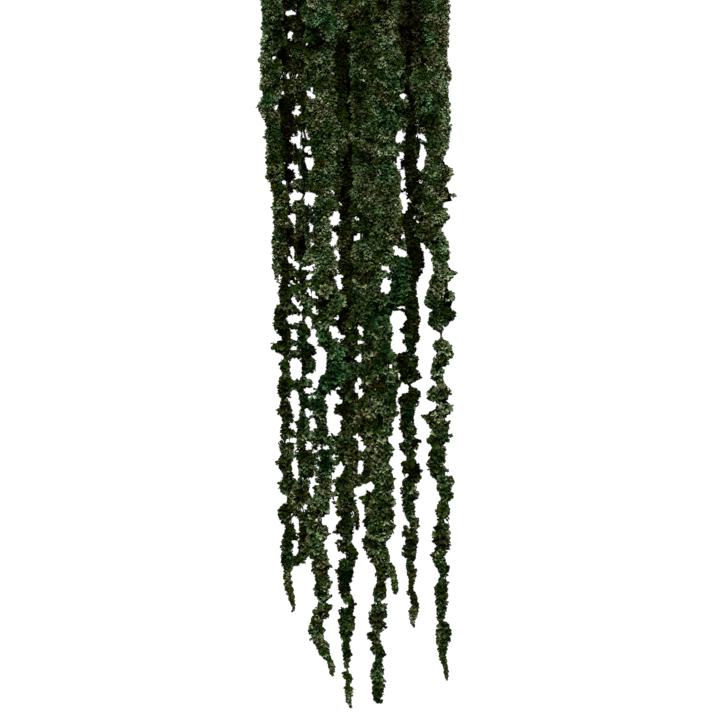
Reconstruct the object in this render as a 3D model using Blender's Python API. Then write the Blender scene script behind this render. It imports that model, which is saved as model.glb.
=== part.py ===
"""Cut hanging amaranth, laid down on a table: one branching stem with thirteen long flowering tassels.

The stem lies along +Y with its cut end furthest out, and the tassels run from it towards -Y. The tabletop
is z = 0. Each tassel is one solid, a thin branch that carries clumps of tiny flowers like beads on a string.
"""

import math
import random

import bmesh
import bpy
import numpy as np
from mathutils import Vector

MM = 0.001

# Clumps of flowers
SECTION_SIDES = 6  # a section has a corner at each side, so two corners at the foot lie flat on the table
SECTION_HEIGHT = 0.98  # height of a clump as a share of its width, before it is pressed flat below
MIDDLE_HEIGHT = 0.84  # of its middle above the table, as a share of its half width
CORNER_SPREAD = 0.09  # how far a corner of a section strays from its even place, as a share
KNOB_SIDE, KNOB_TOP = 0.05, 0.13  # every other corner of a section stands out by this share, the rest draw in
CLUMP_PITCH = 20.0  # from one clump to the next where nothing in the tassel's list says otherwise
CLUMP_DRIFT = 1.6  # how far such a clump strays to the side
FIRST_CLUMP_LEAD = 15.0  # from the end of the bare branch to the first full clump
FIRST_CLUMP_SHARE = 0.55  # width of the small clump that comes before it
NOTCH_SHARE = 0.7  # width of the notch between two clumps, as a share of the narrower one
NOTCH_ROOM = 15.0  # clumps closer than this run into each other with no notch
NOTCH_LEAST = 4.6  # clumps narrower than this have no notch beside them

# How the tassels lie on each other
SKIN_GAP = 0.4  # from a solid to the plane where two tassels press against each other
PRESSED = 1.0  # what comes this close to the table lies flat on it
SQUEEZE = 0.9  # tassels sink into the ones below them to this share of their full distance
STEP = 3.0  # spacing of the samples along a tassel
CLUMP_REACH = 8.0  # a clump holds up this much of its tassel to either side
SETTLE_REACH = 12.0  # a tassel is too stiff to follow shapes shorter than this
FRONT_LIFT = 23.0  # height at which stiff branches hold the tassels on top near the stem

# Stem and branches
STEM_ACROSS = 107.0
STEM_CUT_DOWN = -238.0
STEM_END_DOWN = -62.0
STEM_CUT_RADIUS = 6.2
STEM_END_RADIUS = 3.4
STEM_END_HEIGHT = 16.0
STEM_SIDES = 12
STEM_RIB = 0.07  # depth of the ribs along the stem, as a share of its radius
STEM_BOW = 5.0  # sideways bow of the stem between its ends
BRANCH_RADIUS = 1.7
BRANCH_FLARE = 1.35  # a branch is this much thicker where it meets the stem
BRANCH_SEAT = 0.35  # clear of the stem's skin
BRANCH_SPREAD = 0.62  # how steeply a branch leaves the stem
BRANCH_LEAD = 26.0  # how strongly it keeps that direction at first
BRANCH_STEPS = 5

# One entry for each tassel, from left to right. Sizes are in mm.
# over:  0 lies on the table, 1 and 2 lie on those with a lower number
# held:  (from, to) where a tassel held up by its branch comes down, or None if it lies down all the way
# fork:  where its branch leaves the stem, and tilt: how far round towards the top of the stem, in degrees
# tip:    (across, down) of its free end
# clumps: (across, down, half width) of each clump or bare stretch, from the branch towards the tip
TASSELS = {
    "tassel_01": dict(
        over=1, held=(150, 285), fork=-186, tilt=25, tip=(26.5, 283), clumps=[
            (24, -34, 8), (21, -12, 9.5), (20, 12, 10.5), (21, 40, 11), (19, 66, 11.5), (20, 88, 9.5),
            (17, 107, 10.5), (22, 124, 7.5), (23, 140, 8.5), (24, 158, 8.5), (25, 176, 10),
            (29, 198, 8.5), (30, 224, 6.5), (28, 249, 6.5), (26, 267, 4.2)]),
    "tassel_02": dict(
        over=0, held=None, fork=-168, tilt=-20, tip=(43, 612), clumps=[
            (39, -26, 8), (36, 0, 8), (36, 30, 8), (35, 70, 8), (35, 108, 8), (34, 146, 8), (38, 174, 8),
            (35, 206, 7), (37, 240, 6), (37, 266, 7.5), (34, 288, 6), (35, 305, 9.5),
            (31, 323, 8.5), (37, 338, 5), (33, 349, 9.5), (35, 368, 5.5), (34, 384, 8.5),
            (34, 400, 4.5), (35, 413, 8), (38, 431, 6.5), (34, 444, 5), (35, 460, 7),
            (36, 478, 7), (39, 496, 7), (34, 513, 7), (39, 527, 4.5), (39, 536, 6),
            (36, 552, 6), (36, 566, 5), (38, 580, 4), (40, 596, 3.3)]),
    "tassel_03": dict(
        over=0, held=None, fork=-154, tilt=-5, tip=(43.5, 567), clumps=[
            (55, -40, 7), (51, -16, 8), (50, 20, 8), (50, 52, 7.5), (50, 88, 7.5), (52, 115, 6.5),
            (51, 131, 1.5), (54, 142, 4), (50, 149, 1.5), (46, 157, 6.5), (54, 170, 5),
            (51, 184, 9.5), (53, 194, 1.5), (49, 207, 6.5), (50, 222, 5.5), (50, 240, 7.5),
            (52, 257, 8), (49, 274, 9), (51, 290, 9), (56, 306, 7), (53, 317, 3),
            (54, 331, 7.5), (49, 342, 6), (56, 353, 8.5), (58, 366, 7), (54, 375, 2.6),
            (51, 385, 10), (54, 402, 6), (53, 411, 2.8), (53, 424, 6.5), (54, 437, 7.5),
            (52, 447, 6.5), (55, 459, 9), (55, 474, 8.5), (50, 488, 9), (50, 500, 9),
            (55, 516, 5.5), (54, 534, 5.5), (53, 549, 5), (47, 559, 4.5)]),
    "tassel_04": dict(
        over=2, held=(300, 450), fork=-132, tilt=30, tip=(82, 677), clumps=[
            (73, -28, 11), (70, -6, 13.5), (69, 16, 15), (70, 40, 15), (71, 66, 14.5), (72, 98, 14.5),
            (73, 124, 14), (73, 146, 13), (74, 166, 12), (72, 190, 12.5), (73, 211, 13), (70, 232, 11),
            (71, 254, 14), (76, 272, 13), (76, 290, 13), (79, 305, 13), (72, 321, 10),
            (73, 338, 8), (84, 354, 9.5), (86, 371, 10.5), (76, 385, 11), (72, 397, 3.5),
            (68, 408, 10), (72, 424, 6), (71, 437, 9), (72, 447, 3), (70, 457, 9),
            (77, 469, 9), (72, 486, 10), (74, 499, 9.5), (69, 513, 9.5), (70, 529, 11),
            (68, 544, 9.5), (70, 560, 9.5), (70, 576, 9), (72, 592, 8.5), (73, 602, 4),
            (73, 610, 8.5), (66, 622, 7), (67, 634, 8.5), (71, 647, 8), (78, 658, 3.8),
            (81, 668, 3)]),
    "tassel_05": dict(
        over=2, held=(600, 700), fork=-112, tilt=38, tip=(84, 207), clumps=[
            (90, -44, 7), (89, -20, 8), (88, 10, 8.5), (88, 36, 8), (88, 64, 7.5), (88, 92, 7.5),
            (88, 120, 7.5), (87, 148, 7), (86, 174, 6), (85, 192, 4)]),
    "tassel_06": dict(
        over=0, held=None, fork=-97, tilt=-25, tip=(101.5, 710), clumps=[
            (95, -18, 8), (96, 22, 8), (97, 60, 8.5), (97, 96, 9), (98, 130, 8), (99, 160, 8),
            (98, 190, 8), (96, 217, 7), (96, 238, 9), (97, 262, 7.5), (96, 285, 7.5),
            (96, 306, 8.5), (94, 322, 8.5), (99, 339, 8), (100, 356, 7.5), (100, 374, 7.5),
            (97, 393, 9.5), (93, 409, 9), (97, 424, 7.5), (98, 442, 8), (99, 457, 10),
            (101, 468, 6.5), (96, 483, 10), (94, 505, 8.5), (93, 528, 9), (96, 537, 3.8),
            (97, 551, 9), (95, 573, 8.5), (95, 591, 6.5), (99, 603, 4.5), (96, 617, 7.5),
            (96, 632, 7), (96, 641, 3), (96, 652, 5.5), (97, 667, 2.5), (97, 676, 5.5),
            (99, 687, 4), (99, 698, 4)]),
    "tassel_07": dict(
        over=1, held=None, fork=-82, tilt=-30, tip=(107.5, 531), clumps=[
            (113, -10, 7), (112, 60, 7), (112, 140, 7), (110, 220, 7), (108, 290, 6.5),
            (107, 350, 6), (108, 396, 7.5), (109, 414, 8), (107, 432, 6.5), (106, 452, 5.5),
            (105, 472, 6), (104, 490, 5.5), (105, 504, 3.4), (106.5, 519, 2.8)]),
    "tassel_08": dict(
        over=2, held=(360, 500), fork=None, tilt=0, tip=(121, 560), clumps=[
            (108, -32, 10), (111, -10, 11.5), (112, 14, 12), (112, 40, 12), (112, 72, 11.5), (113, 104, 12),
            (113, 134, 11), (113, 164, 10.5), (114, 196, 10.5), (114, 226, 9.5), (113, 254, 9),
            (114, 284, 9), (116, 308, 9), (119, 330, 7), (116, 350, 8.5), (118, 368, 9),
            (117, 388, 7.5), (116, 408, 9.5), (115, 427, 8), (117, 445, 6.5), (118, 462, 5.5),
            (116, 478, 7), (117, 500, 9), (118, 518, 7.5), (118, 538, 7.5), (118, 551, 6)]),
    "tassel_09": dict(
        over=2, held=(380, 520), fork=-104, tilt=35, tip=(127, 703), clumps=[
            (132, -38, 10), (135, -16, 12), (136, 10, 13), (137, 40, 13), (137, 72, 12.5), (137, 104, 12.5),
            (136, 136, 10.5), (138, 160, 11), (137, 184, 12), (139, 208, 13), (138, 230, 12),
            (132, 250, 12), (130, 268, 8.5), (124, 288, 8.5), (128, 304, 8), (133, 323, 9),
            (134, 342, 8), (133, 360, 8.5), (130, 378, 8.5), (131, 398, 9), (131, 416, 9),
            (131, 434, 9), (131, 452, 9), (132, 470, 9), (134, 488, 9.5), (132, 508, 9.5),
            (131, 528, 9.5), (129, 546, 9), (130, 565, 9), (129, 582, 5.5), (129, 594, 7.5),
            (128, 602, 4), (127, 613, 8.8), (127, 626, 8.5), (124, 638, 6), (125, 647, 5),
            (128, 656, 6.5), (127, 673, 7.5), (127, 686, 6.5), (127, 696, 5)]),
    "tassel_10": dict(
        over=1, held=None, fork=-120, tilt=-28, tip=(146.5, 596), clumps=[
            (147, -22, 8), (146, 60, 8), (146, 140, 8), (145, 205, 8), (148, 244, 7),
            (150, 268, 9), (150, 286, 9), (146, 300, 10), (138, 313, 6), (137, 334, 5),
            (143, 356, 5.5), (141, 378, 7.5), (140, 398, 8), (140, 415, 8.5), (138, 436, 6.5),
            (140, 455, 6.5), (139, 478, 7), (141, 505, 6.5), (140, 526, 6.5), (138, 545, 5.5),
            (141, 566, 5), (144, 579, 3.6), (145, 588, 3)]),
    "tassel_11": dict(
        over=0, held=None, fork=-138, tilt=-15, tip=(166, 629), clumps=[
            (157, -42, 8), (160, -14, 9.5), (160, 24, 9.5), (159, 62, 9.5), (157, 98, 9), (160, 132, 7),
            (160, 152, 7.5), (161, 170, 8.5), (164, 194, 8.5), (161, 214, 8), (161, 244, 10),
            (165, 266, 8.5), (163, 284, 5.5), (162, 304, 6.5), (162, 320, 8.8), (159, 333, 9.5),
            (161, 350, 5), (161, 372, 9.5), (160, 386, 1.5), (162, 399, 9.5), (158, 414, 7),
            (159, 429, 9), (157, 437, 3.8), (159, 448, 9), (161, 457, 3.4), (161, 470, 9),
            (160, 490, 9), (158, 510, 6), (162, 523, 5), (161, 538, 8), (160, 550, 7),
            (161, 561, 2.6), (161, 572, 5.8), (161, 588, 1.8), (162, 597, 5), (164, 611, 4.5),
            (162, 619, 3)]),
    "tassel_12": dict(
        over=1, held=(180, 260), fork=-156, tilt=32, tip=(178, 251), clumps=[
            (172, -26, 9), (175, -2, 11), (175, 20, 11), (175, 44, 11), (176, 74, 11.5), (177, 104, 11),
            (180, 126, 7.5), (183, 150, 6.5), (177, 176, 8), (175, 204, 8), (173, 226, 7),
            (176, 241, 4)]),
    "tassel_13": dict(
        over=0, held=None, fork=-176, tilt=5, tip=(199, 681), clumps=[
            (185, -36, 9), (188, -12, 10), (189, 14, 10.5), (190, 44, 10), (190, 76, 11), (190, 104, 10.5),
            (191, 127, 11), (189, 143, 9), (189, 158, 9), (192, 173, 10), (190, 192, 10), (188, 208, 9),
            (190, 222, 9.5), (188, 244, 9.5), (190, 262, 9), (191, 277, 10), (187, 297, 12),
            (191, 307, 4), (192, 317, 12.5), (191, 328, 6), (192, 335, 1.5), (191, 347, 10),
            (192, 358, 9.5), (187, 372, 7.5), (190, 383, 5), (190, 394, 11.5), (195, 408, 8.5),
            (186, 418, 10.5), (190, 434, 11), (187, 452, 9.5), (188, 467, 10), (194, 481, 7.5),
            (196, 494, 7.5), (194, 502, 3.4), (192, 511, 8), (193, 521, 3), (192, 531, 8.5),
            (192, 544, 9), (189, 556, 7.5), (192, 572, 7), (191, 579, 3.8), (192, 594, 7.8),
            (192, 608, 6), (194, 627, 7), (194, 642, 6), (193, 653, 4.2), (195, 668, 3.2)]),
}


def smooth_step(share):
    share = min(max(share, 0.0), 1.0)
    return share * share * (3 - 2 * share)


def clear_scene():
    for item in list(bpy.data.objects):
        bpy.data.objects.remove(item)


def material(name, colour, roughness):
    made = bpy.data.materials.new(name)
    made.use_nodes = True
    shader = made.node_tree.nodes["Principled BSDF"]
    shader.inputs["Base Color"].default_value = (*colour, 1.0)
    shader.inputs["Roughness"].default_value = roughness
    shader.inputs["Metallic"].default_value = 0.0
    return made


# The stem

def stem_middle(down):
    """Middle of the stem at a place along it, as (across, height)."""
    share = (down - STEM_CUT_DOWN) / (STEM_END_DOWN - STEM_CUT_DOWN)
    across = STEM_ACROSS + STEM_BOW * math.sin(math.pi * share)
    cut_height = STEM_CUT_RADIUS * (1 - STEM_RIB)
    return across, cut_height + (STEM_END_HEIGHT - cut_height) * smooth_step(share)


def stem_radius(down):
    share = (down - STEM_CUT_DOWN) / (STEM_END_DOWN - STEM_CUT_DOWN)
    return STEM_CUT_RADIUS + (STEM_END_RADIUS - STEM_CUT_RADIUS) * share


def stem_sections():
    """Sections of the stem from its cut end down, each a list of (across, down, height)."""
    sections = []
    for down in np.linspace(STEM_CUT_DOWN, STEM_END_DOWN, 10):
        across, height = stem_middle(down)
        radius = stem_radius(down)
        corners = []
        for side in range(STEM_SIDES):
            angle = 2 * math.pi * side / STEM_SIDES
            reach = radius * (1 - STEM_RIB * (side % 2))
            corners.append((across + reach * math.cos(angle), down, height + reach * math.sin(angle)))
        sections.append(corners)
    return sections


# Where each tassel runs

def all_clumps(name, chance):
    """A tassel's clumps from its first small one to its last, with more put in where the list leaves room."""
    listed = TASSELS[name]["clumps"]
    first_across, first_down, first_half = listed[0]
    filled = [(first_across, first_down - FIRST_CLUMP_LEAD, FIRST_CLUMP_SHARE * first_half), listed[0]]
    for here, there in zip(listed, listed[1:]):
        gaps = max(1, round((there[1] - here[1]) / CLUMP_PITCH))
        for number in range(1, gaps):
            share = number / gaps
            across, down, half = (a + (b - a) * share for a, b in zip(here, there))
            filled.append((
                across + chance.uniform(-CLUMP_DRIFT, CLUMP_DRIFT),
                down + chance.uniform(-CLUMP_DRIFT, CLUMP_DRIFT),
                half * chance.uniform(0.9, 1.1),
            ))
        filled.append(there)
    return filled


def averaged(values, reach):
    """Values along a tassel, evened out over a reach given in mm."""
    span = int(3 * reach / STEP)
    offsets = np.arange(-span, span + 1) * STEP
    weights = np.exp(-0.5 * (offsets / reach) ** 2)
    padded = np.pad(values, span, mode="edge")
    return np.convolve(padded, weights / weights.sum(), mode="valid")


def highest_near(values, reach):
    """The highest of the values within a reach given in mm."""
    span = int(reach / STEP)
    padded = np.pad(values, span, mode="edge")
    return np.max([padded[i:i + len(values)] for i in range(2 * span + 1)], axis=0)


def lay_down(name, clumps, laid):
    """The line of a tassel in its flowering stretch: arrays of down, across, height and half width."""
    facts = TASSELS[name]
    tip_across, tip_down = facts["tip"]
    points = np.array([*clumps, (tip_across, tip_down, 1.2)])
    down = np.arange(clumps[0][1], tip_down, STEP)
    across = np.interp(down, points[:, 1], points[:, 0])
    half = np.interp(down, points[:, 1], points[:, 2])
    table = MIDDLE_HEIGHT * averaged(highest_near(half, CLUMP_REACH), CLUMP_REACH)
    height = table.copy()
    for other, line in laid.items():
        if TASSELS[other]["over"] >= facts["over"]:
            continue
        beside = (down >= line["down"][0]) & (down <= line["down"][-1])
        other_half = np.interp(down, line["down"], line["half"])
        reach = SQUEEZE * (half + other_half)
        apart = np.abs(across - np.interp(down, line["down"], line["across"]))
        rise = np.sqrt(np.clip(reach ** 2 - apart ** 2, 0, None))
        above = np.interp(down, line["down"], line["height"]) + rise
        height = np.where(beside & (apart < reach), np.maximum(height, above), height)
    if facts["held"]:
        begin, end = facts["held"]
        lifted = [FRONT_LIFT * (1 - smooth_step((d - begin) / (end - begin))) for d in down]
        height = np.maximum(height, table + np.array(lifted))
    height = averaged(highest_near(height, CLUMP_REACH), SETTLE_REACH)
    return dict(down=down, across=across, height=np.maximum(height, table), half=half)


def add_branch(name, line):
    """Puts the bare branch, from the stem to the first flowers, in front of a tassel's line."""
    fork = TASSELS[name]["fork"]
    first = Vector((line["across"][0], line["down"][0], line["height"][0]))
    if fork is None:
        across, height = stem_middle(STEM_END_DOWN)
        seat, outward = Vector((across, STEM_END_DOWN + BRANCH_SEAT, height)), Vector((0, 1, 0))
        leaving = Vector((0, 1, 0))
    else:
        across, height = stem_middle(fork)
        tilt = math.radians(TASSELS[name]["tilt"])
        side = 1 if first.x > across else -1
        outward = Vector((side * math.cos(tilt), 0, math.sin(tilt)))
        seat = Vector((across, fork, height)) + outward * (stem_radius(fork) + BRANCH_SEAT)
        leaving = (outward * BRANCH_SPREAD + Vector((0, 1, 0))).normalized()
    length = (first - seat).length
    arrive = Vector((0, 1, 0))
    path = []
    for number in range(BRANCH_STEPS):
        t = number / BRANCH_STEPS
        blend = [(1 - t) ** 3, 3 * t * (1 - t) ** 2, 3 * t * t * (1 - t), t ** 3]
        controls = [seat, seat + leaving * min(BRANCH_LEAD, length / 2), first - arrive * length / 3, first]
        path.append(sum((c * b for c, b in zip(controls, blend)), Vector()))
    line["branch"] = path
    line["outward"], line["leaving"] = outward, leaving
    line["down"] = np.concatenate([[p.y for p in path], line["down"]])
    line["across"] = np.concatenate([[p.x for p in path], line["across"]])
    line["height"] = np.concatenate([[p.z for p in path], line["height"]])
    line["half"] = np.concatenate([[BRANCH_RADIUS] * BRANCH_STEPS, line["half"]])


# Skin of a tassel

def kept_clear(corner, middle, half, name, laid):
    """The corner, drawn in to its own side of the plane where two tassels press together, and laid on the
    table where it comes close to it."""
    share = 1.0
    offset = corner - middle
    for other, line in laid.items():
        if other == name or not line["down"][0] - 6 <= middle.y <= line["down"][-1] + 6:
            continue
        there = Vector((
            np.interp(corner.y, line["down"], line["across"]), corner.y,
            np.interp(corner.y, line["down"], line["height"])))
        other_half = float(np.interp(corner.y, line["down"], line["half"]))
        towards = there - Vector((middle.x, corner.y, middle.z))
        distance = towards.length
        if distance < 1e-6 or distance > 3 * (half + other_half):
            continue
        towards.normalize()
        limit = distance * half / (half + other_half) - SKIN_GAP
        reach = Vector((offset.x, 0, offset.z)).dot(towards)
        if reach > limit:
            share = min(share, max(limit, 0.3) / reach)
    corner = middle + offset * share
    if corner.z < PRESSED:
        corner.z = 0.0
    return corner


def section(middle, tangent, half, number, name, laid, chance):
    """One section across a tassel, square to its line. Its corners stand out by turns, as a clump's knobs."""
    sideways = Vector((-tangent.y, tangent.x, 0)).normalized()
    if sideways.x < 0:
        sideways = -sideways
    upward = sideways.cross(tangent).normalized()
    if upward.z < 0:
        upward = -upward
    corners = []
    for side in range(SECTION_SIDES):
        angle = 2 * math.pi * side / SECTION_SIDES
        knob = KNOB_SIDE if side % (SECTION_SIDES // 2) == 0 else KNOB_TOP
        turn = 1 if (side + number // 2) % 2 else -1
        reach = half * (1 + turn * knob + chance.uniform(-CORNER_SPREAD, CORNER_SPREAD))
        corner = middle + sideways * (reach * math.cos(angle))
        corner += upward * (reach * math.sin(angle) * SECTION_HEIGHT)
        corners.append(kept_clear(corner, middle, half, name, laid))
    return corners


def branch_sections(name, line, chance):
    """Sections of the bare branch. The first is slanted to lie flat against the stem."""
    sections = []
    path = line["branch"]
    for number, middle in enumerate(path):
        if number == 0:
            tangent = line["leaving"]
        else:
            tangent = (path[min(number + 1, len(path) - 1)] - path[number - 1]).normalized()
        radius = BRANCH_RADIUS * (BRANCH_FLARE if number == 0 else 1)
        corners = section(middle, tangent, radius, number, name, {}, chance)
        if number == 0:
            slant = line["leaving"].dot(line["outward"])
            corners = [c + line["leaving"] * ((middle - c).dot(line["outward"]) / slant) for c in corners]
        sections.append(corners)
    return sections


def tassel_sections(name, clumps, laid, chance):
    """All sections of a tassel from the stem to its tip."""
    line = laid[name]
    sections = branch_sections(name, line, chance)
    places = []
    for number, (across, down, half) in enumerate(clumps):
        places.append((across, down, half))
        if number + 1 == len(clumps):
            continue
        next_across, next_down, next_half = clumps[number + 1]
        if next_down - down > NOTCH_ROOM and min(half, next_half) > NOTCH_LEAST:
            notch = NOTCH_SHARE * min(half, next_half)
            places.append(((across + next_across) / 2, (down + next_down) / 2, notch))
    middles = [Vector((a, d, float(np.interp(d, line["down"], line["height"])))) for a, d, _ in places]
    for number, middle in enumerate(middles):
        before = middles[max(number - 1, 0)]
        after = middles[min(number + 1, len(middles) - 1)]
        tangent = (after - before).normalized()
        sections.append(section(middle, tangent, places[number][2], number, name, laid, chance))
    return sections


# Meshes

def closed_mesh(name, sections, seat, tip):
    """A closed mesh through its sections, measured from its seat. It ends in a point if it has a tip."""
    shape = bmesh.new()
    rings = [[shape.verts.new((Vector(corner) - seat) * MM) for corner in corners] for corners in sections]
    count = len(rings[0])
    for ring, next_ring in zip(rings, rings[1:]):
        for side in range(count):
            after = (side + 1) % count
            shape.faces.new((ring[side], ring[after], next_ring[after], next_ring[side]))
    shape.faces.new(rings[0])
    if tip is None:
        shape.faces.new(rings[-1])
    else:
        point = shape.verts.new((Vector(tip) - seat) * MM)
        for side in range(count):
            shape.faces.new((rings[-1][side], rings[-1][(side + 1) % count], point))
    bmesh.ops.triangulate(shape, faces=shape.faces)
    bmesh.ops.scale(shape, vec=(1, -1, 1), verts=shape.verts)
    bmesh.ops.recalc_face_normals(shape, faces=shape.faces)
    mesh = bpy.data.meshes.new(name)
    shape.to_mesh(mesh)
    shape.free()
    return mesh


def add_object(name, mesh, seat, finish):
    """An object whose origin is its seat: the stem's cut end, or where a tassel's branch leaves the stem."""
    mesh.materials.append(finish)
    mesh.shade_smooth()
    mesh.set_sharp_from_angle(angle=math.radians(60))
    made = bpy.data.objects.new(name, mesh)
    made.location = Vector((seat.x, -seat.y, seat.z)) * MM
    bpy.context.scene.collection.objects.link(made)


def centre_on_table():
    """Moves everything so that the origin lies on the table below the middle of the whole plant."""
    corners = [item.location + vertex.co for item in bpy.data.objects for vertex in item.data.vertices]
    lowest, highest = (Vector([limit(c[axis] for c in corners) for axis in range(3)]) for limit in (min, max))
    middle = (lowest + highest) / 2
    for item in bpy.data.objects:
        item.location -= Vector((middle.x, middle.y, 0))


clear_scene()
stem_green = material("stem_green", (0.045, 0.06, 0.02), 0.6)
flower_green = material("flower_green", (0.035, 0.055, 0.018), 0.75)
cut_across, cut_height = stem_middle(STEM_CUT_DOWN)
cut_end = Vector((cut_across, STEM_CUT_DOWN, cut_height))
add_object("main_stem", closed_mesh("main_stem", stem_sections(), cut_end, None), cut_end, stem_green)

lines = {}
clumps_of = {}
for tassel in sorted(TASSELS, key=lambda key: TASSELS[key]["over"]):
    clumps_of[tassel] = all_clumps(tassel, random.Random(tassel))
    lines[tassel] = lay_down(tassel, clumps_of[tassel], lines)
for tassel, line_of in lines.items():
    add_branch(tassel, line_of)
for tassel, facts_of in TASSELS.items():
    tip_of = Vector((*facts_of["tip"], lines[tassel]["height"][-1]))
    rows = tassel_sections(tassel, clumps_of[tassel], lines, random.Random(tassel + " skin"))
    fork_at = lines[tassel]["branch"][0]
    add_object(tassel, closed_mesh(tassel, rows, fork_at, tip_of), fork_at, flower_green)
centre_on_table()
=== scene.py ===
import math

import bpy
import numpy as np
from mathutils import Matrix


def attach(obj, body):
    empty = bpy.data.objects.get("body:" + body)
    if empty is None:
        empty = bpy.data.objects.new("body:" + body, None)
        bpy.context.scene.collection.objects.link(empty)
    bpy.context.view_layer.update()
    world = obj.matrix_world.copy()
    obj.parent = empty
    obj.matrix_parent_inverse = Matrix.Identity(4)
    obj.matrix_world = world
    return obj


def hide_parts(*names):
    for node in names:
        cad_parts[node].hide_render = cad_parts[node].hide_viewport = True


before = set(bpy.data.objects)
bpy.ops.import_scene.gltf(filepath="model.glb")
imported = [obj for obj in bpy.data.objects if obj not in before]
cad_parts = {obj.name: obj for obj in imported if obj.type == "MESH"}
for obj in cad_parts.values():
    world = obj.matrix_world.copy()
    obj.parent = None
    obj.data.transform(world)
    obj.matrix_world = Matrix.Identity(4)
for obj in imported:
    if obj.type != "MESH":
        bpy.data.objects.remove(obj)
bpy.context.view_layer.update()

# The main stem: a dried green stalk as thick as a finger, cut straight across with a knife. It is ribbed
# lengthways, and its cut shows a pale pith inside a thin green rind.

MM = 0.001
MIDDLE_ACROSS = 105.18  # across and down are in mm, measured as a gardener would on the hanging plant
MIDDLE_DOWN = 236.0
SLICE_STEP = 1.5  # a solid is measured in slices this far apart, in mm
SLICE_FROM, SLICE_TO = 0.6, 0.3  # from this far inside its upper end to this far inside its lower one
SLICE_EDGES = 3  # a slice has to cross at least so many edges
STEM_STEP = 2.0
STEM_SIDES = 60
STEM_RIBS = 9
RIB_DEPTH = 0.075  # as a share of the radius
RIB_MIDDLE = 0.75  # how far up from furrow to rib the outline of the solid runs
RIB_TWIST = 0.9
STREAKS_TO_METRE, STREAK_STRETCH = 110.0, (9.0, 0.7, 9.0)
BLOTCHES_TO_METRE = 45.0
BARK_STREAKS, BARK_BLOTCHES, BARK_RANGE = 0.7, 0.5, (0.42, 0.78)  # what makes the bark green or brown
PITH_RANGE = (0.4, 0.75)  # from the rind inwards
ROUGH_LEAST, ROUGH_STREAKS = 0.5, 0.3
STEM_RELIEF = 0.0008  # in metres
STEM_GREEN = (0.066, 0.082, 0.034)
STEM_BROWN = (0.078, 0.05, 0.026)
PITH = (0.36, 0.33, 0.2)


class Wire:
    """One socket of a material, with the sums that can be done on it."""

    def __init__(self, tree, socket=None):
        self.tree = tree
        self.socket = socket

    def node(self, kind, settings=None, inputs=None, output=0):
        """Adds a node with its settings first, then its values or links, and returns one of its outputs."""
        made = self.tree.nodes.new(kind)
        for name, value in (settings or {}).items():
            setattr(made, name, value)
        for name, value in (inputs or {}).items():
            if isinstance(value, Wire):
                self.tree.links.new(value.socket, made.inputs[name])
            else:
                made.inputs[name].default_value = value
        return Wire(self.tree, made.outputs[output])

    def sum(self, operation, *values):
        return self.node("ShaderNodeMath", {"operation": operation}, dict(enumerate(values)))

    def __add__(self, other):
        return self.sum("ADD", self, other)

    def __radd__(self, other):
        return self.sum("ADD", other, self)

    def __sub__(self, other):
        return self.sum("SUBTRACT", self, other)

    def __rsub__(self, other):
        return self.sum("SUBTRACT", other, self)

    def __mul__(self, other):
        return self.sum("MULTIPLY", self, other)

    def __rmul__(self, other):
        return self.sum("MULTIPLY", other, self)

    def __pow__(self, other):
        return self.sum("POWER", self, other)

    def __rpow__(self, other):
        return self.sum("POWER", other, self)

    def kept(self, low, high):
        """0 below low, 1 above high and even between them."""
        limits = {"Value": self, "From Min": low, "From Max": high}
        return self.node("ShaderNodeMapRange", {"clamp": True}, limits)

    def blend(self, none, full):
        """A colour between two others, by this share."""
        ends = [value if isinstance(value, Wire) else (*value, 1.0) for value in (none, full)]
        return self.node("ShaderNodeMix", {"data_type": "RGBA"}, {0: self, 6: ends[0], 7: ends[1]}, 2)

    def measured(self, name):
        """A value that the mesh carries at each point."""
        return self.node("ShaderNodeAttribute", {"attribute_name": name}, None, "Fac")

    def speckle(self, scale, detail=2.0, stretch=None):
        """Cloudy variation, with a given number of clouds to the metre."""
        place = self.node("ShaderNodeTexCoord", None, None, "Object")
        if stretch:
            place = self.node("ShaderNodeMapping", None, {"Vector": place, "Scale": stretch})
        return self.node("ShaderNodeTexNoise", None, {"Vector": place, "Scale": scale, "Detail": detail})


def finish(name, roughness, specular):
    """A new material: the wire to build it with and its shader."""
    made = bpy.data.materials.new(name)
    made.use_nodes = True
    shader = made.node_tree.nodes["Principled BSDF"]
    shader.inputs["Roughness"].default_value = roughness
    shader.inputs["Specular IOR Level"].default_value = specular
    return made, Wire(made.node_tree), shader


def connect(wire, shader, name):
    wire.tree.links.new(wire.socket, shader.inputs[name])


def raised(wire, shader, height, strength, distance):
    """Gives the surface a relief."""
    relief = {"Height": height, "Strength": strength, "Distance": distance}
    connect(wire.node("ShaderNodeBump", None, relief), shader, "Normal")


def piece(name, corners, faces, values, material, node):
    """One smooth mesh from corners in mm, triangles and values at each corner, which stands for a part of the
    plant."""
    mesh = bpy.data.meshes.new(name)
    mesh.vertices.add(len(corners))
    mesh.vertices.foreach_set("co", (np.asarray(corners) * MM).astype(np.float32).ravel())
    mesh.loops.add(faces.size)
    mesh.loops.foreach_set("vertex_index", faces.astype(np.int32).ravel())
    mesh.polygons.add(len(faces))
    mesh.polygons.foreach_set("loop_start", np.arange(0, faces.size, 3, dtype=np.int32))
    mesh.update(calc_edges=True)
    mesh.polygons.foreach_set("use_smooth", np.ones(len(faces), dtype=bool))
    for label, value in values.items():
        mesh.attributes.new(label, "FLOAT", "POINT").data.foreach_set("value", value.astype(np.float32))
    mesh.materials.append(material)
    made = bpy.data.objects.new(name, mesh)
    bpy.context.scene.collection.objects.link(made)
    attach(made, "root")
    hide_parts(node)


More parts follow.
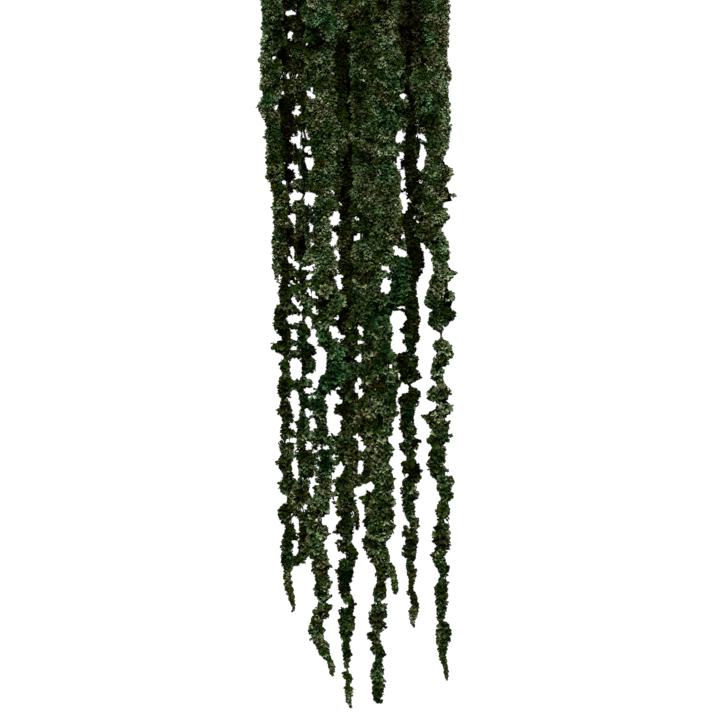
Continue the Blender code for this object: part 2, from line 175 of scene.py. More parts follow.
def line_of(node, step=SLICE_STEP):
    """The middle of a solid and its half width and half height at places along it."""
    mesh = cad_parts[node].data
    points = np.empty(len(mesh.vertices) * 3)
    mesh.vertices.foreach_get("co", points)
    points = points.reshape(-1, 3) / MM
    edges = np.empty(len(mesh.edges) * 2, dtype=int)
    mesh.edges.foreach_get("vertices", edges)
    starts, ends = points[edges.reshape(-1, 2)].transpose(1, 0, 2)
    slices = []
    for level in np.arange(points[:, 1].max() - SLICE_FROM, points[:, 1].min() + SLICE_TO, -step):
        crossed = (starts[:, 1] - level) * (ends[:, 1] - level) < 0
        if crossed.sum() < SLICE_EDGES:
            continue
        share = ((level - starts[crossed, 1]) / (ends[crossed, 1] - starts[crossed, 1]))[:, None]
        cut = starts[crossed] + share * (ends[crossed] - starts[crossed])
        low, high = cut.min(0), cut.max(0)
        middle, half = (low + high) / 2, (high - low) / 2
        slices.append((MIDDLE_DOWN - level, middle[0], middle[2], half[0], half[2]))
    return dict(zip(("down", "x", "z", "half", "rise"), np.array(slices).T))


def tube(line, radii, sides, swell=None):
    """Corners and triangles of a tube along a line, closed at both ends."""
    middles = np.stack([line["x"], MIDDLE_DOWN - line["down"], line["z"]], 1)
    tangent = np.gradient(middles, axis=0)
    tangent /= np.linalg.norm(tangent, axis=1)[:, None]
    sideways = np.stack([-tangent[:, 1], tangent[:, 0], np.zeros(len(tangent))], 1)
    sideways /= np.linalg.norm(sideways, axis=1)[:, None]
    upward = np.cross(sideways, tangent)
    angle = np.arange(sides) * 2 * math.pi / sides
    reach = radii[:, None] * (swell if swell is not None else np.ones((len(radii), sides)))
    ring = sideways[:, None] * np.cos(angle)[None, :, None] + upward[:, None] * np.sin(angle)[None, :, None]
    corners = (middles[:, None] + ring * reach[..., None]).reshape(-1, 3)
    here = np.arange(len(radii) - 1)[:, None] * sides + np.arange(sides)
    beside = np.arange(len(radii) - 1)[:, None] * sides + (np.arange(sides) + 1) % sides
    faces = [np.stack([here, here + sides, beside], -1), np.stack([beside, here + sides, beside + sides], -1)]
    faces = np.concatenate([part.reshape(-1, 3) for part in faces])
    first, last = len(corners), len(corners) + 1
    corners = np.concatenate([corners, middles[:1], middles[-1:]])
    side = np.arange(sides)
    after = (side + 1) % sides
    top = len(radii) * sides - sides
    caps = [np.stack([np.full(sides, first), side, after], 1),
            np.stack([np.full(sides, last), top + after, top + side], 1)]
    return corners, np.concatenate([faces, *caps])


stem_line = line_of("main_stem", STEM_STEP)
rows = len(stem_line["down"])
stem_radius = (stem_line["half"] + stem_line["rise"]) / 2
stem_angle = np.arange(STEM_SIDES) * 2 * math.pi / STEM_SIDES
twisted = stem_angle[None, :] * STEM_RIBS + np.linspace(0, RIB_TWIST, rows)[:, None]
stem_swell = 1 + RIB_DEPTH * (np.abs(np.cos(twisted / 2)) - RIB_MIDDLE)
stem_corners, stem_faces = tube(stem_line, stem_radius, STEM_SIDES, stem_swell)

stem_finish, stem_wire, stem_shader = finish("ribbed_stem", 0.62, 0.3)
streaks = stem_wire.speckle(STREAKS_TO_METRE, 4.0, STREAK_STRETCH)
patches = stem_wire.speckle(BLOTCHES_TO_METRE, 3.0)
bark = (streaks * BARK_STREAKS + patches * BARK_BLOTCHES).kept(*BARK_RANGE).blend(STEM_GREEN, STEM_BROWN)
on_cut = stem_wire.measured("cut").kept(*PITH_RANGE)
connect(on_cut.blend(bark, PITH), stem_shader, "Base Color")
connect(streaks * ROUGH_STREAKS + ROUGH_LEAST, stem_shader, "Roughness")
raised(stem_wire, stem_shader, streaks, 0.5, STEM_RELIEF)
stem_cut = np.zeros(len(stem_corners))
stem_cut[-2:] = 1.0
piece("stem", stem_corners, stem_faces, {"cut": stem_cut}, stem_finish, "main_stem")

# The stalks: a thin green-brown branch leaves the stem for each tassel and runs on to its tip as the stalk
# that carries the flowers. It shows bare near the stem and between clusters lower down.

STALK_SIDES = 8
STALK_STEP = 4.5
STALK_RADIUS = 1.65
STALK_TIP_RADIUS = 0.55
STALK_FLARE, FLARE_ENDS = 0.25, 60  # this share thicker at the fork, and how fast it thins out from there
STALK_BARE = 2.4  # a tassel narrower than this to either side is bare stalk
STALK_INSIDE = 1.2  # a stalk stays this far within the edges of its tassel
STALK_STREAKS_TO_METRE, STALK_STREAK_STRETCH = 160.0, (6.0, 0.8, 6.0)
STALK_RANGE = (0.35, 0.7)  # from green to brown
STALK_RELIEF = 0.0004  # in metres
STALK_GREEN = (0.024, 0.03, 0.011)
STALK_BROWN = (0.028, 0.018, 0.009)
BEND_SINKS = 0.8  # a stalk that swings to one side sinks by this share of it
BEND_LOWEST = 2.0  # but not lower than this
LEAST_HALF = 0.8  # the least half width of a tassel
SCALLOP_SPACING = 8.5  # the edge is nicked about this often between florets, in mm
SCALLOP_DEPTH = 2.4
SCALLOP_STRAY, SCALLOP_SWING = 17, 3  # over this length the nicks run early and late, by this in radians
SCALLOPS_FROM, SCALLOPS_FULL = 150, 350  # in mm down, where the nicks begin and where they are deepest
SCALLOP_HALF, SCALLOP_LEAST = 8, 0.3  # a tassel of this half width has full nicks, a thin one this share
KNOB_SPACING, KNOB_DEPTH = 5.6, 1.1  # and single florets make smaller knobs along it
KNOB_STRAY, KNOB_SWING = 13, 4  # and run early and late likewise
BULGE = 1.6  # how far a hidden edge bulges out here and there
BULGE_LONG, BULGE_SHORT, SHORT_SHARE = 9, 4.3, 0.7  # by long waves, and by short ones of this share
BULGE_TURN = 2.1  # no two tassels bulge alike
EDGE_INSET = 0.9  # how far the tips of the flowers stand out past their clusters, in mm
UNLIMITED = 1000.0
TASSELS = [f"tassel_{number:02d}" for number in range(1, 14)]
# Where a stalk swings to one side within its tassel: down, and how far to the right.
BENDS = {
    "tassel_08": [(466, 0), (476, 9), (492, 9), (504, 0)],
    "tassel_03": [(100, 0), (125, 3), (150, 2), (185, 2), (205, 0)],
    "tassel_07": [(340, 0), (352, -5), (500, -7), (530, 0)],
    "tassel_10": [
        (120, 0), (132, -6), (165, -6), (180, 0), (232, 0), (242, -7), (258, -5), (270, 0), (300, 0),
        (306, -5), (330, -3), (420, -4), (560, -6), (576, 0)],
}

# Where the left and the right edge of a tassel run in and out, where they can be seen: down and across.
LEFT_EDGES = {
    "tassel_01": [
        (0, 10), (12, 13), (25, 13), (30, 11), (40, 12), (46, 9), (55, 12), (60, 7), (63, 10), (75, 10),
        (78, 12), (84, 10), (89, 10), (92, 12), (99, 12), (104, 7), (108, 7), (114, 11), (120, 14), (127, 17),
        (138, 14), (144, 18), (150, 15), (170, 18), (178, 15), (184, 20), (192, 21), (197, 25), (203, 21),
        (210, 24), (236, 22), (268, 22), (283, 26)],
    "tassel_02": [
        (283, 30), (296, 27), (303, 32), (306, 24), (318, 23), (324, 22), (334, 26), (337, 33), (342, 33),
        (343.8, 20.5), (350, 20.5), (354, 29), (357, 35), (365, 28), (375, 33), (385, 26), (396, 28),
        (401, 31), (410, 27), (416, 28), (420, 34), (432, 30), (442, 28), (450, 29), (455, 32), (461, 26),
        (470, 28), (474, 33), (479, 33), (483, 26), (492, 29), (500, 37), (510, 26), (523, 30), (528, 36),
        (540, 32), (560, 30), (574, 34), (582, 33), (594, 36), (603, 40), (612, 43)],
    "tassel_04": [
        (545, 55), (555, 58), (560, 62), (570, 62), (580, 65), (590, 64), (599, 65), (604, 71), (609, 64),
        (620, 60), (631, 58), (641, 60), (646, 67), (650, 66), (657, 71), (662, 77), (673, 80), (677, 82)],
    "tassel_06": [
        (571, 86), (582, 88), (595, 89), (604, 95), (609, 89), (617, 89), (630, 89), (637, 89), (641, 93),
        (647, 91), (662, 94), (669, 94.5), (671, 96), (674, 91), (683, 96), (695, 94), (706, 98), (710, 101)],
    "tassel_07": [(500, 100), (510, 103.5), (520, 105), (529, 107), (531, 107.5)],
    "tassel_10": [(560, 138), (571, 139), (590, 142.5), (596, 145)],
    "tassel_08": [
        (496, 107), (501, 109), (503, 113), (511, 114), (518, 115), (522, 111), (531, 118), (540, 112),
        (548, 112), (558, 119)],
    "tassel_09": [
        (558, 118), (566, 123), (572, 127), (581, 126.5), (587, 126), (596, 121), (602, 127), (607, 120),
        (617, 118), (624, 119), (631, 123), (636, 116), (645, 123), (650, 121), (660, 125), (672, 120),
        (681, 120), (687, 123), (696, 122), (702, 126)],
    "tassel_11": [
        (311, 152), (320, 157), (330, 149), (337, 157), (341, 152), (348, 156), (352, 152), (356, 143),
        (368, 144), (372, 150), (380, 150), (384, 154), (386, 159.5), (389, 159.5), (393, 154), (396, 146),
        (401, 146), (415, 150), (425, 149), (431, 150), (437, 155), (443, 149), (449, 149), (452, 151),
        (454, 157), (460, 157), (464, 151), (474, 153), (476, 159), (478, 159), (480, 153), (489, 150),
        (500, 152), (513, 153), (522, 159), (528, 153), (536, 152), (541, 156), (548, 153), (556, 153),
        (561, 158), (566, 155), (580, 159), (588, 159), (592, 156), (601, 161), (615, 159), (624, 161),
        (629, 165)],
    "tassel_13": [
        (255, 182), (270, 183), (285, 180), (297, 175), (306, 175), (310, 184), (318, 178), (325, 178),
        (330, 186), (333, 190.5), (339, 190.5), (342, 185), (347, 179), (352, 188), (358, 182), (362, 186),
        (368, 180), (373, 180), (381, 182), (384, 188), (390, 178), (398, 175), (401, 181), (404, 187),
        (411, 188), (413.5, 183), (415, 172), (417, 171), (421, 176), (425, 179), (431, 182), (441, 176),
        (448, 182), (452, 179), (459, 177), (470, 177.5), (475, 181), (481, 186), (490, 188), (500, 191),
        (514, 184), (520, 189), (527, 184), (536, 182), (542, 183), (549, 188), (554, 181), (565, 185),
        (572, 188), (577, 190), (590, 184), (602, 186), (611, 187), (621, 187), (623, 190), (628, 187),
        (638, 186), (648, 188), (660, 190), (666, 193), (678, 196), (681, 198)],
}
# The right edge of tassel_09 where tassel_10 hangs against it, which is also that of tassel_10.
SHARED_EDGE = [
    (384, 151), (392, 148), (398, 146), (414, 150), (421, 143), (431, 144), (441, 137), (448, 146),
    (458, 141), (465, 138), (469, 143), (476, 141), (478, 147), (484, 141), (488, 147), (494, 141),
    (503, 147), (511, 140), (515, 147), (520, 141), (525, 147), (533, 143), (546, 135),
]
RIGHT_EDGES = {
    "tassel_07": [(480, 104), (500, 103.5), (504, 104), (510, 108), (516, 109), (526, 109), (531, 108.5)],
    "tassel_10": [
        *SHARED_EDGE, (556, 139.5), (562, 140), (568, 145), (573, 146), (585, 148), (592, 148), (596, 147.5)],
    "tassel_02": [(571, 40), (585, 42), (591, 43), (605, 45), (612, 44)],
    "tassel_04": [
        (514, 77), (517, 71), (522, 70), (526, 75), (530, 80), (536, 79), (541, 75), (545, 73), (550, 78),
        (556, 77), (560, 80), (568, 83), (575, 77), (584, 82), (589, 81), (593, 75), (596, 82), (604, 75),
        (606, 83), (619, 77), (623, 71), (627, 72), (631, 77), (634, 72), (640, 75), (651, 82), (654, 76),
        (657, 82), (669, 85), (677, 83)],
    "tassel_06": [
        (535, 103), (541, 101), (552, 109), (568, 104), (575, 105), (585, 99), (589, 102), (593, 99),
        (606, 107), (612, 102), (620, 106), (637, 103), (644, 99), (656, 102), (664, 99), (671, 98),
        (680, 103), (687, 100), (690, 104), (700, 101), (710, 102)],
    "tassel_09": [
        (312, 139), (322, 139), (330, 143), (336, 140), (352, 143), *SHARED_EDGE, (549, 139), (561, 139),
        (568, 143), (576, 140), (580, 136), (582, 133), (585, 136.5), (592, 136.5), (596, 135), (601, 134),
        (604, 130), (605, 137), (616, 137), (622, 132), (626, 137), (631, 136), (634, 129), (637, 132),
        (642, 130), (653, 135), (657, 135.5), (661, 131), (671, 135), (678, 133), (684, 136), (698, 132),
        (702, 129)],
    "tassel_11": [
        (250, 173), (265, 175), (285, 166), (300, 168), (315, 168), (320, 171), (329, 167), (340, 171),
        (345, 165), (350, 167), (354, 164), (361, 170), (369, 165), (374, 172), (379, 173), (382, 163),
        (386, 161), (392, 171), (403, 169), (416, 164), (421, 163), (433, 168), (437, 161), (440, 172),
        (448, 168), (458, 164), (463, 167), (471, 173), (483, 169), (487, 166), (495, 170), (504, 163),
        (509, 166), (512, 163), (525, 171), (530, 165), (539, 170), (545, 166), (559, 167), (562, 162),
        (573, 167), (585, 164), (590, 162), (595, 167), (609, 169), (616, 168), (622, 165), (629, 166)],
    "tassel_13": [
        (0, 199), (10, 200), (14, 199), (27, 199.5), (30, 198.5), (45, 199), (52, 196), (60, 197), (68, 200),
        (76, 202), (84, 198), (98, 198), (102, 200), (118, 200), (127, 202), (135, 199), (148, 200),
        (150, 197), (160, 193), (165, 194), (168, 203), (176, 203), (183, 197), (187, 194), (193, 196),
        (194.5, 207), (197, 207), (198.5, 196), (203, 193), (212, 198), (217, 201), (228, 191), (242, 198),
        (252, 200), (269, 197), (271, 205), (273, 207), (280, 200), (289, 195), (291, 203), (293, 205),
        (300, 206), (305, 193), (312, 206), (317, 206), (323, 199), (330, 194), (333, 192.5), (339, 192.5),
        (345, 202), (350, 202), (354, 205), (358, 201), (364, 200), (369, 195), (374, 195), (377, 192),
        (380, 194), (384, 194), (387, 196), (390, 203), (395, 203), (398, 193), (403, 193), (405, 204),
        (414, 203), (417, 196), (418, 195), (421, 202), (428, 198), (439, 203), (446, 194), (453, 197),
        (466, 194), (470, 200), (477, 204), (483, 204), (488, 201), (499, 204), (503, 196), (508, 201),
        (519, 198), (525, 201), (530, 199), (535, 201), (547, 201), (560, 195), (570, 200), (575, 200),
        (580, 195), (584, 199), (597, 197), (603, 200), (607, 197), (621, 194), (626, 201), (633, 202),
        (645, 199), (654, 196), (675, 199), (681, 199)],
}


def add_edges(name, line):
    """Notes the left and right edge of a tassel at its places, as listed above or else those of the solid,
    and how far its flowers may reach, which is as far as they like where no edge is listed."""
    number = int(name[-2:])
    down = line["down"]
    low = np.clip((down - SCALLOPS_FROM) / (SCALLOPS_FULL - SCALLOPS_FROM), 0, 1)
    swing = SCALLOP_SWING * np.sin(down / SCALLOP_STRAY)
    for key, table, side in (("left", LEFT_EDGES, -1), ("right", RIGHT_EDGES, 1)):
        nicks = np.sin(math.pi * down / SCALLOP_SPACING + swing + side) ** 6
        depth = SCALLOP_DEPTH * low * nicks * np.clip(line["half"] / SCALLOP_HALF, SCALLOP_LEAST, 1)
        bulge = np.sin(down / BULGE_LONG + BULGE_TURN * number + side)
        bulge += SHORT_SHARE * np.sin(down / BULGE_SHORT + number - side)
        line[key] = line["x"] + side * (line["half"] + EDGE_INSET + BULGE * np.clip(bulge, 0, None))
        line[key + "_most"] = np.full(len(down), side * UNLIMITED)
        if name in table:
            listed_down, listed_across = np.array(table[name]).T
            listed = (down >= listed_down[0]) & (down <= listed_down[-1])
            edge = np.interp(down, listed_down, listed_across) - MIDDLE_ACROSS
            stray = KNOB_SWING * np.sin(down / KNOB_STRAY + side)
            knobs = KNOB_DEPTH * np.sin(2 * math.pi * down / KNOB_SPACING + stray)
            line[key] = np.where(listed, edge, line[key])
            line[key + "_most"] = np.where(listed, edge - side * (depth + knobs), line[key + "_most"])


def limits(line, down):
    """How far to the left and to the right the flowers of a tassel may reach at places down its length."""
    return [np.interp(down, line["down"], line[key]) for key in ("left_most", "right_most")]


stalk_finish, stalk_wire, stalk_shader = finish("thin_stalk", 0.6, 0.3)
stalk_streaks = stalk_wire.speckle(STALK_STREAKS_TO_METRE, 3.0, STALK_STREAK_STRETCH)
connect(stalk_streaks.kept(*STALK_RANGE).blend(STALK_GREEN, STALK_BROWN), stalk_shader, "Base Color")
raised(stalk_wire, stalk_shader, stalk_streaks, 0.4, STALK_RELIEF)

lines = {}
for name in TASSELS:
    line = line_of(name)
    lines[name] = line
    bare = (line["half"] < STALK_BARE) & (line["down"] < 0)
    add_edges(name, line)
    line["half"] = np.maximum((line["right"] - line["left"]) / 2 - EDGE_INSET, LEAST_HALF)
    stalk_x = np.clip(line["x"], line["left"] + STALK_INSIDE, line["right"] - STALK_INSIDE)
    line["x"] = (line["left"] + line["right"]) / 2
    line["flowers_from"] = line["down"][bare].max()
    places = np.arange(line["down"][0], line["down"][-1], STALK_STEP)
    bend = np.interp(places, *np.array(BENDS.get(name, [(0, 0)])).T)
    height = np.interp(places, line["down"], line["z"])
    stalk_line = {
        "down": places,
        "x": np.interp(places, line["down"], stalk_x) + bend,
        "z": np.maximum(height - BEND_SINKS * np.abs(bend), np.minimum(height, BEND_LOWEST))}
    share = np.linspace(0, 1, len(places))
    stalk_radii = STALK_RADIUS + (STALK_TIP_RADIUS - STALK_RADIUS) * share
    stalk_radii *= 1 + STALK_FLARE * np.exp(-share * FLARE_ENDS)
    corners, faces = tube(stalk_line, stalk_radii, STALK_SIDES)
    piece(name.replace("tassel", "stalk"), corners, faces, {}, stalk_finish, name)

# The tassels of flowers: round clusters crowd round each stalk in turns, and each cluster is a burr of tiny
# papery flowers with pointed bracts, painted near black at the foot as shade, dark green further up and
# grey-green at the tips, which is partly their own paleness and partly painted highlight.

# Higher up the flowers are finer than lower down. A pair marked "fine, coarse" is a value up there and the
# same one low down. Lengths are in mm.
COARSENING = (180.0, 360.0)  # between these places down the plant the flowers go from fine to coarse
CLUSTER_SHARE = (0.46, 0.54)  # fine, coarse: radius of a cluster as a share of the tassel's half width
CLUSTER_GAP = (1.65, 2.0)  # fine, coarse: spacing of clusters along the stalk, in radii
CLUSTER_TURN = 1.65  # and round it
CLUSTER_LEAST, CLUSTER_MOST = 1.4, 5.2  # least and greatest radius, before it varies
CLUSTER_VARIES = (0.75, 1.2)  # by which it is multiplied
PROUD = (1.2, 1.4)  # fine, coarse: how far clusters stand out past the outline of the solid
CLUSTER_SUNK = 0.5  # less this, which leaves room for the bracts
CLUSTER_OUT = 0.3  # the least that they stand off the tassel's middle
ABOUT = (0.8, 1.2)  # a fifth less or more
ROWS_LEAST, ROWS_MOST = 4, 8
FIRST_SWAY, MORE_SWAY, SWAY_KEPT = 0.3, 0.25, 0.6  # a row sways round the stalk as it goes down
SWAY_TURN = 4  # by this much of its share of a turn
ROW_STARTS, ROW_ENDS = 8, 1.0  # how far at most it starts below the bare branch, and ends above the tip
NECK_BARE = 1.0  # where the flowers leave less than this to either side, the stalk is bare
NECK_STEP = 1.0
HEART_SHARE, HEART_GAP = 0.5, 0.9  # of the half width: radius of the clusters in the middle; their spacing
CORE_SIDES = 12
CORE_STEP = 2.5
CORE_SLOPE, CORE_EVENED = 1.2, 4  # the body, near black as painted shade, widens at most this steeply, evened so many times
CORE_UNDER, CORE_LEAST = 1.3, 0.4  # how far it lies under the clusters' outside, and its least radius
CORE_ROOM = 1.0  # how far it stays clear of gaps and edges
CORE_TRIM, CORE_TRIMS = 0.7, 8  # where it doesn't, it is multiplied by this, so many times at the most
DENSITY = (0.078, 0.053)  # fine, coarse: flowers to the square millimetre
LEAST_SEATS = 5  # flowers to a cluster
FULL_FLOWER, LEAST_FLOWER = 2.4, 0.6  # clusters of this radius have full-sized flowers; the least size
CREVICE = (0.9, 1.4)  # in radii off another cluster's middle: hidden up to the first, in painted crevice shade that fades out by the second
ALONE = 9.0  # and what stands for no other cluster
GOLDEN_ANGLE = 2.399963
BALL_TURN, WAVE_SHIFT = 6.28, 6.3  # each about a full turn
BRACTS = 5  # to a flower
BRACT_PATTERN = np.array([[0, 3, 1], [0, 2, 3], [1, 3, 4], [3, 2, 4]])
BRACT_ALONG = np.array([0.0, 0.6, 0.6, 0.5, 1.0])
KEEL, TIP = 3, 4  # of the five corners of a bract
LONG = (4.1, 5.4)  # fine, coarse: length of a bract
WIDE = (2.4, 3.8)  # fine, coarse: its width
OPEN = (0.35, 0.6)  # fine, coarse: the least that it leans out of its flower, in radians
OPEN_MORE = 0.75  # and how much more at the most
FOOT_SUNK, FOOT_OUT = 1.2, 0.25  # its foot lies this far under the flower's seat and to the side
BELLY_ALONG, KEEL_DEPTH, TIP_CURL = 0.58, 0.22, 0.18  # shares of its length, of its width and of its length
BRACT_STRAY = 0.25  # how evenly bracts stand round a flower, in radians
FLOWER_SIZES = (0.7, 0.6)  # the least size of a flower, and how much more at the most
BRACT_SIZES = (0.8, 0.4)  # and the same of each bract
FLOWER_STRAY = 0.18
TIP_LEAN = 0.35  # how much the flowers point towards the tassel's tip
SLENDER = (6.0, 3.0)  # half widths from which and at which a tassel end counts as slender
SLENDER_LEAN, SLENDER_SMALL, SLENDER_SHUT = 0.9, 0.3, 0.5  # its flowers lean more, are smaller, shut more
OUTSIDE = (0.4, 0.95)  # shares of the way out of a tassel: painted shade up to the first, painted light from the second
CLUSTER_TONE, FLOWER_TONE, BRACT_TONE = 0.5, 0.28, 0.18  # shares of each in how pale a bract is
COARSE_TONE, MIDDLE_TONE = 0.12, 0.5  # coarse clusters differ more, to either side of the middle
INNER_PAINTED_SHADE, OUTER_PAINTED_LIGHT = 0.3, 0.7  # painted shade in the depth of a tassel, and how much more painted light on its outside
SIDE_PAINTED_SHADE, UPPER_PAINTED_LIGHT, UPPER_FROM = 0.62, 0.5, 0.2  # painted light from above: the paleness kept by flowers that face sideways, and how much more for those facing upwards
CREVICE_PAINTED_SHADE, OPEN_PAINTED_LIGHT = 0.5, 0.68  # painted shade beside another cluster, and how much lighter in the open
FLOOR_CLEAR = 0.15
GAP_ROOM = 0.0  # how far the flowers' feet stay clear of a gap
GAP_TIP_ROOM = -0.5  # and their tips, which may poke into it
GAP_RIPPLE = 0.8  # how far its edge runs in and out between florets
RIPPLE_WAYS = ((1.05, 0.6), (-0.35, 0.95))  # in two slanting directions, in radians to the millimetre
CLUSTER_ROOM, SHOOT_ROOM = 0.4, 0.7  # of their radius: how far clusters and shoots stay clear of a gap
EDGE_ROOM = 1.5  # how far the tips may stand out past the edges
SHOOT_LOWER = 2.0  # the side shoots lie this much below the middle of the tassel
SHOOT_GAP = 1.5  # spacing of their clusters, in radii
SHOOT_VARIES, SHOOT_ASIDE, SHOOT_UP = (0.85, 1.15), (-0.3, 0.3), (-0.4, 0.4)  # in radii
SHOOT_INSIDE = 0.7  # how far they stay within the edges, in radii
SHOOT_CLEAR = 0.5  # and off the floor
SHOOT_SIDES = 8
SHOOT_SWELL = np.array([0.6, 0.9, 0.9, 0.6])  # the body of a shoot, near black as painted shade, along its length, in radii
SHOOT_IN_GAP = 0.05  # and how thin it is in a gap
LIGHT_DRIFT, HUE_DRIFT = 0.17, 0.22  # how much paleness and hue wander over the plant
LIGHT_WAVE, HUE_WAVE = 24, 34  # over lengths of about this
DRIFT_WAVES, DRIFT_EVEN, DRIFT_SEED = 6, 1.7, 99  # so many waves, which add up to about this
WAVE_VARIES = (0.7, 1.4)  # their lengths are multiplied by this
HUE_APART = 50  # keeps the waves of hue apart from those of paleness
DRIFT_FADES, DRIFT_FADE = (350, 600), 0.6  # low down the paleness wanders less, by this share
CLUSTER_HUE = 0.45  # how much the clusters differ in hue
PALE_LIGHT, DIM_LIGHT = 0.8, 0.52  # how much a pale patch adds as painted light, and a dim one takes away as painted shade
LIGHT_TONE = 0.5  # how much of the paleness, partly painted light and shade, shows in the tips
LIGHT_DARK, PATCH_DARK = 0.78, 0.75  # and how much of the darkness, partly painted shade, and of a dark patch, painted shade, goes into the whole bract
PATCH_FADES = (0.5, 1.2)  # a patch is full up to the first share of its size and gone at the second

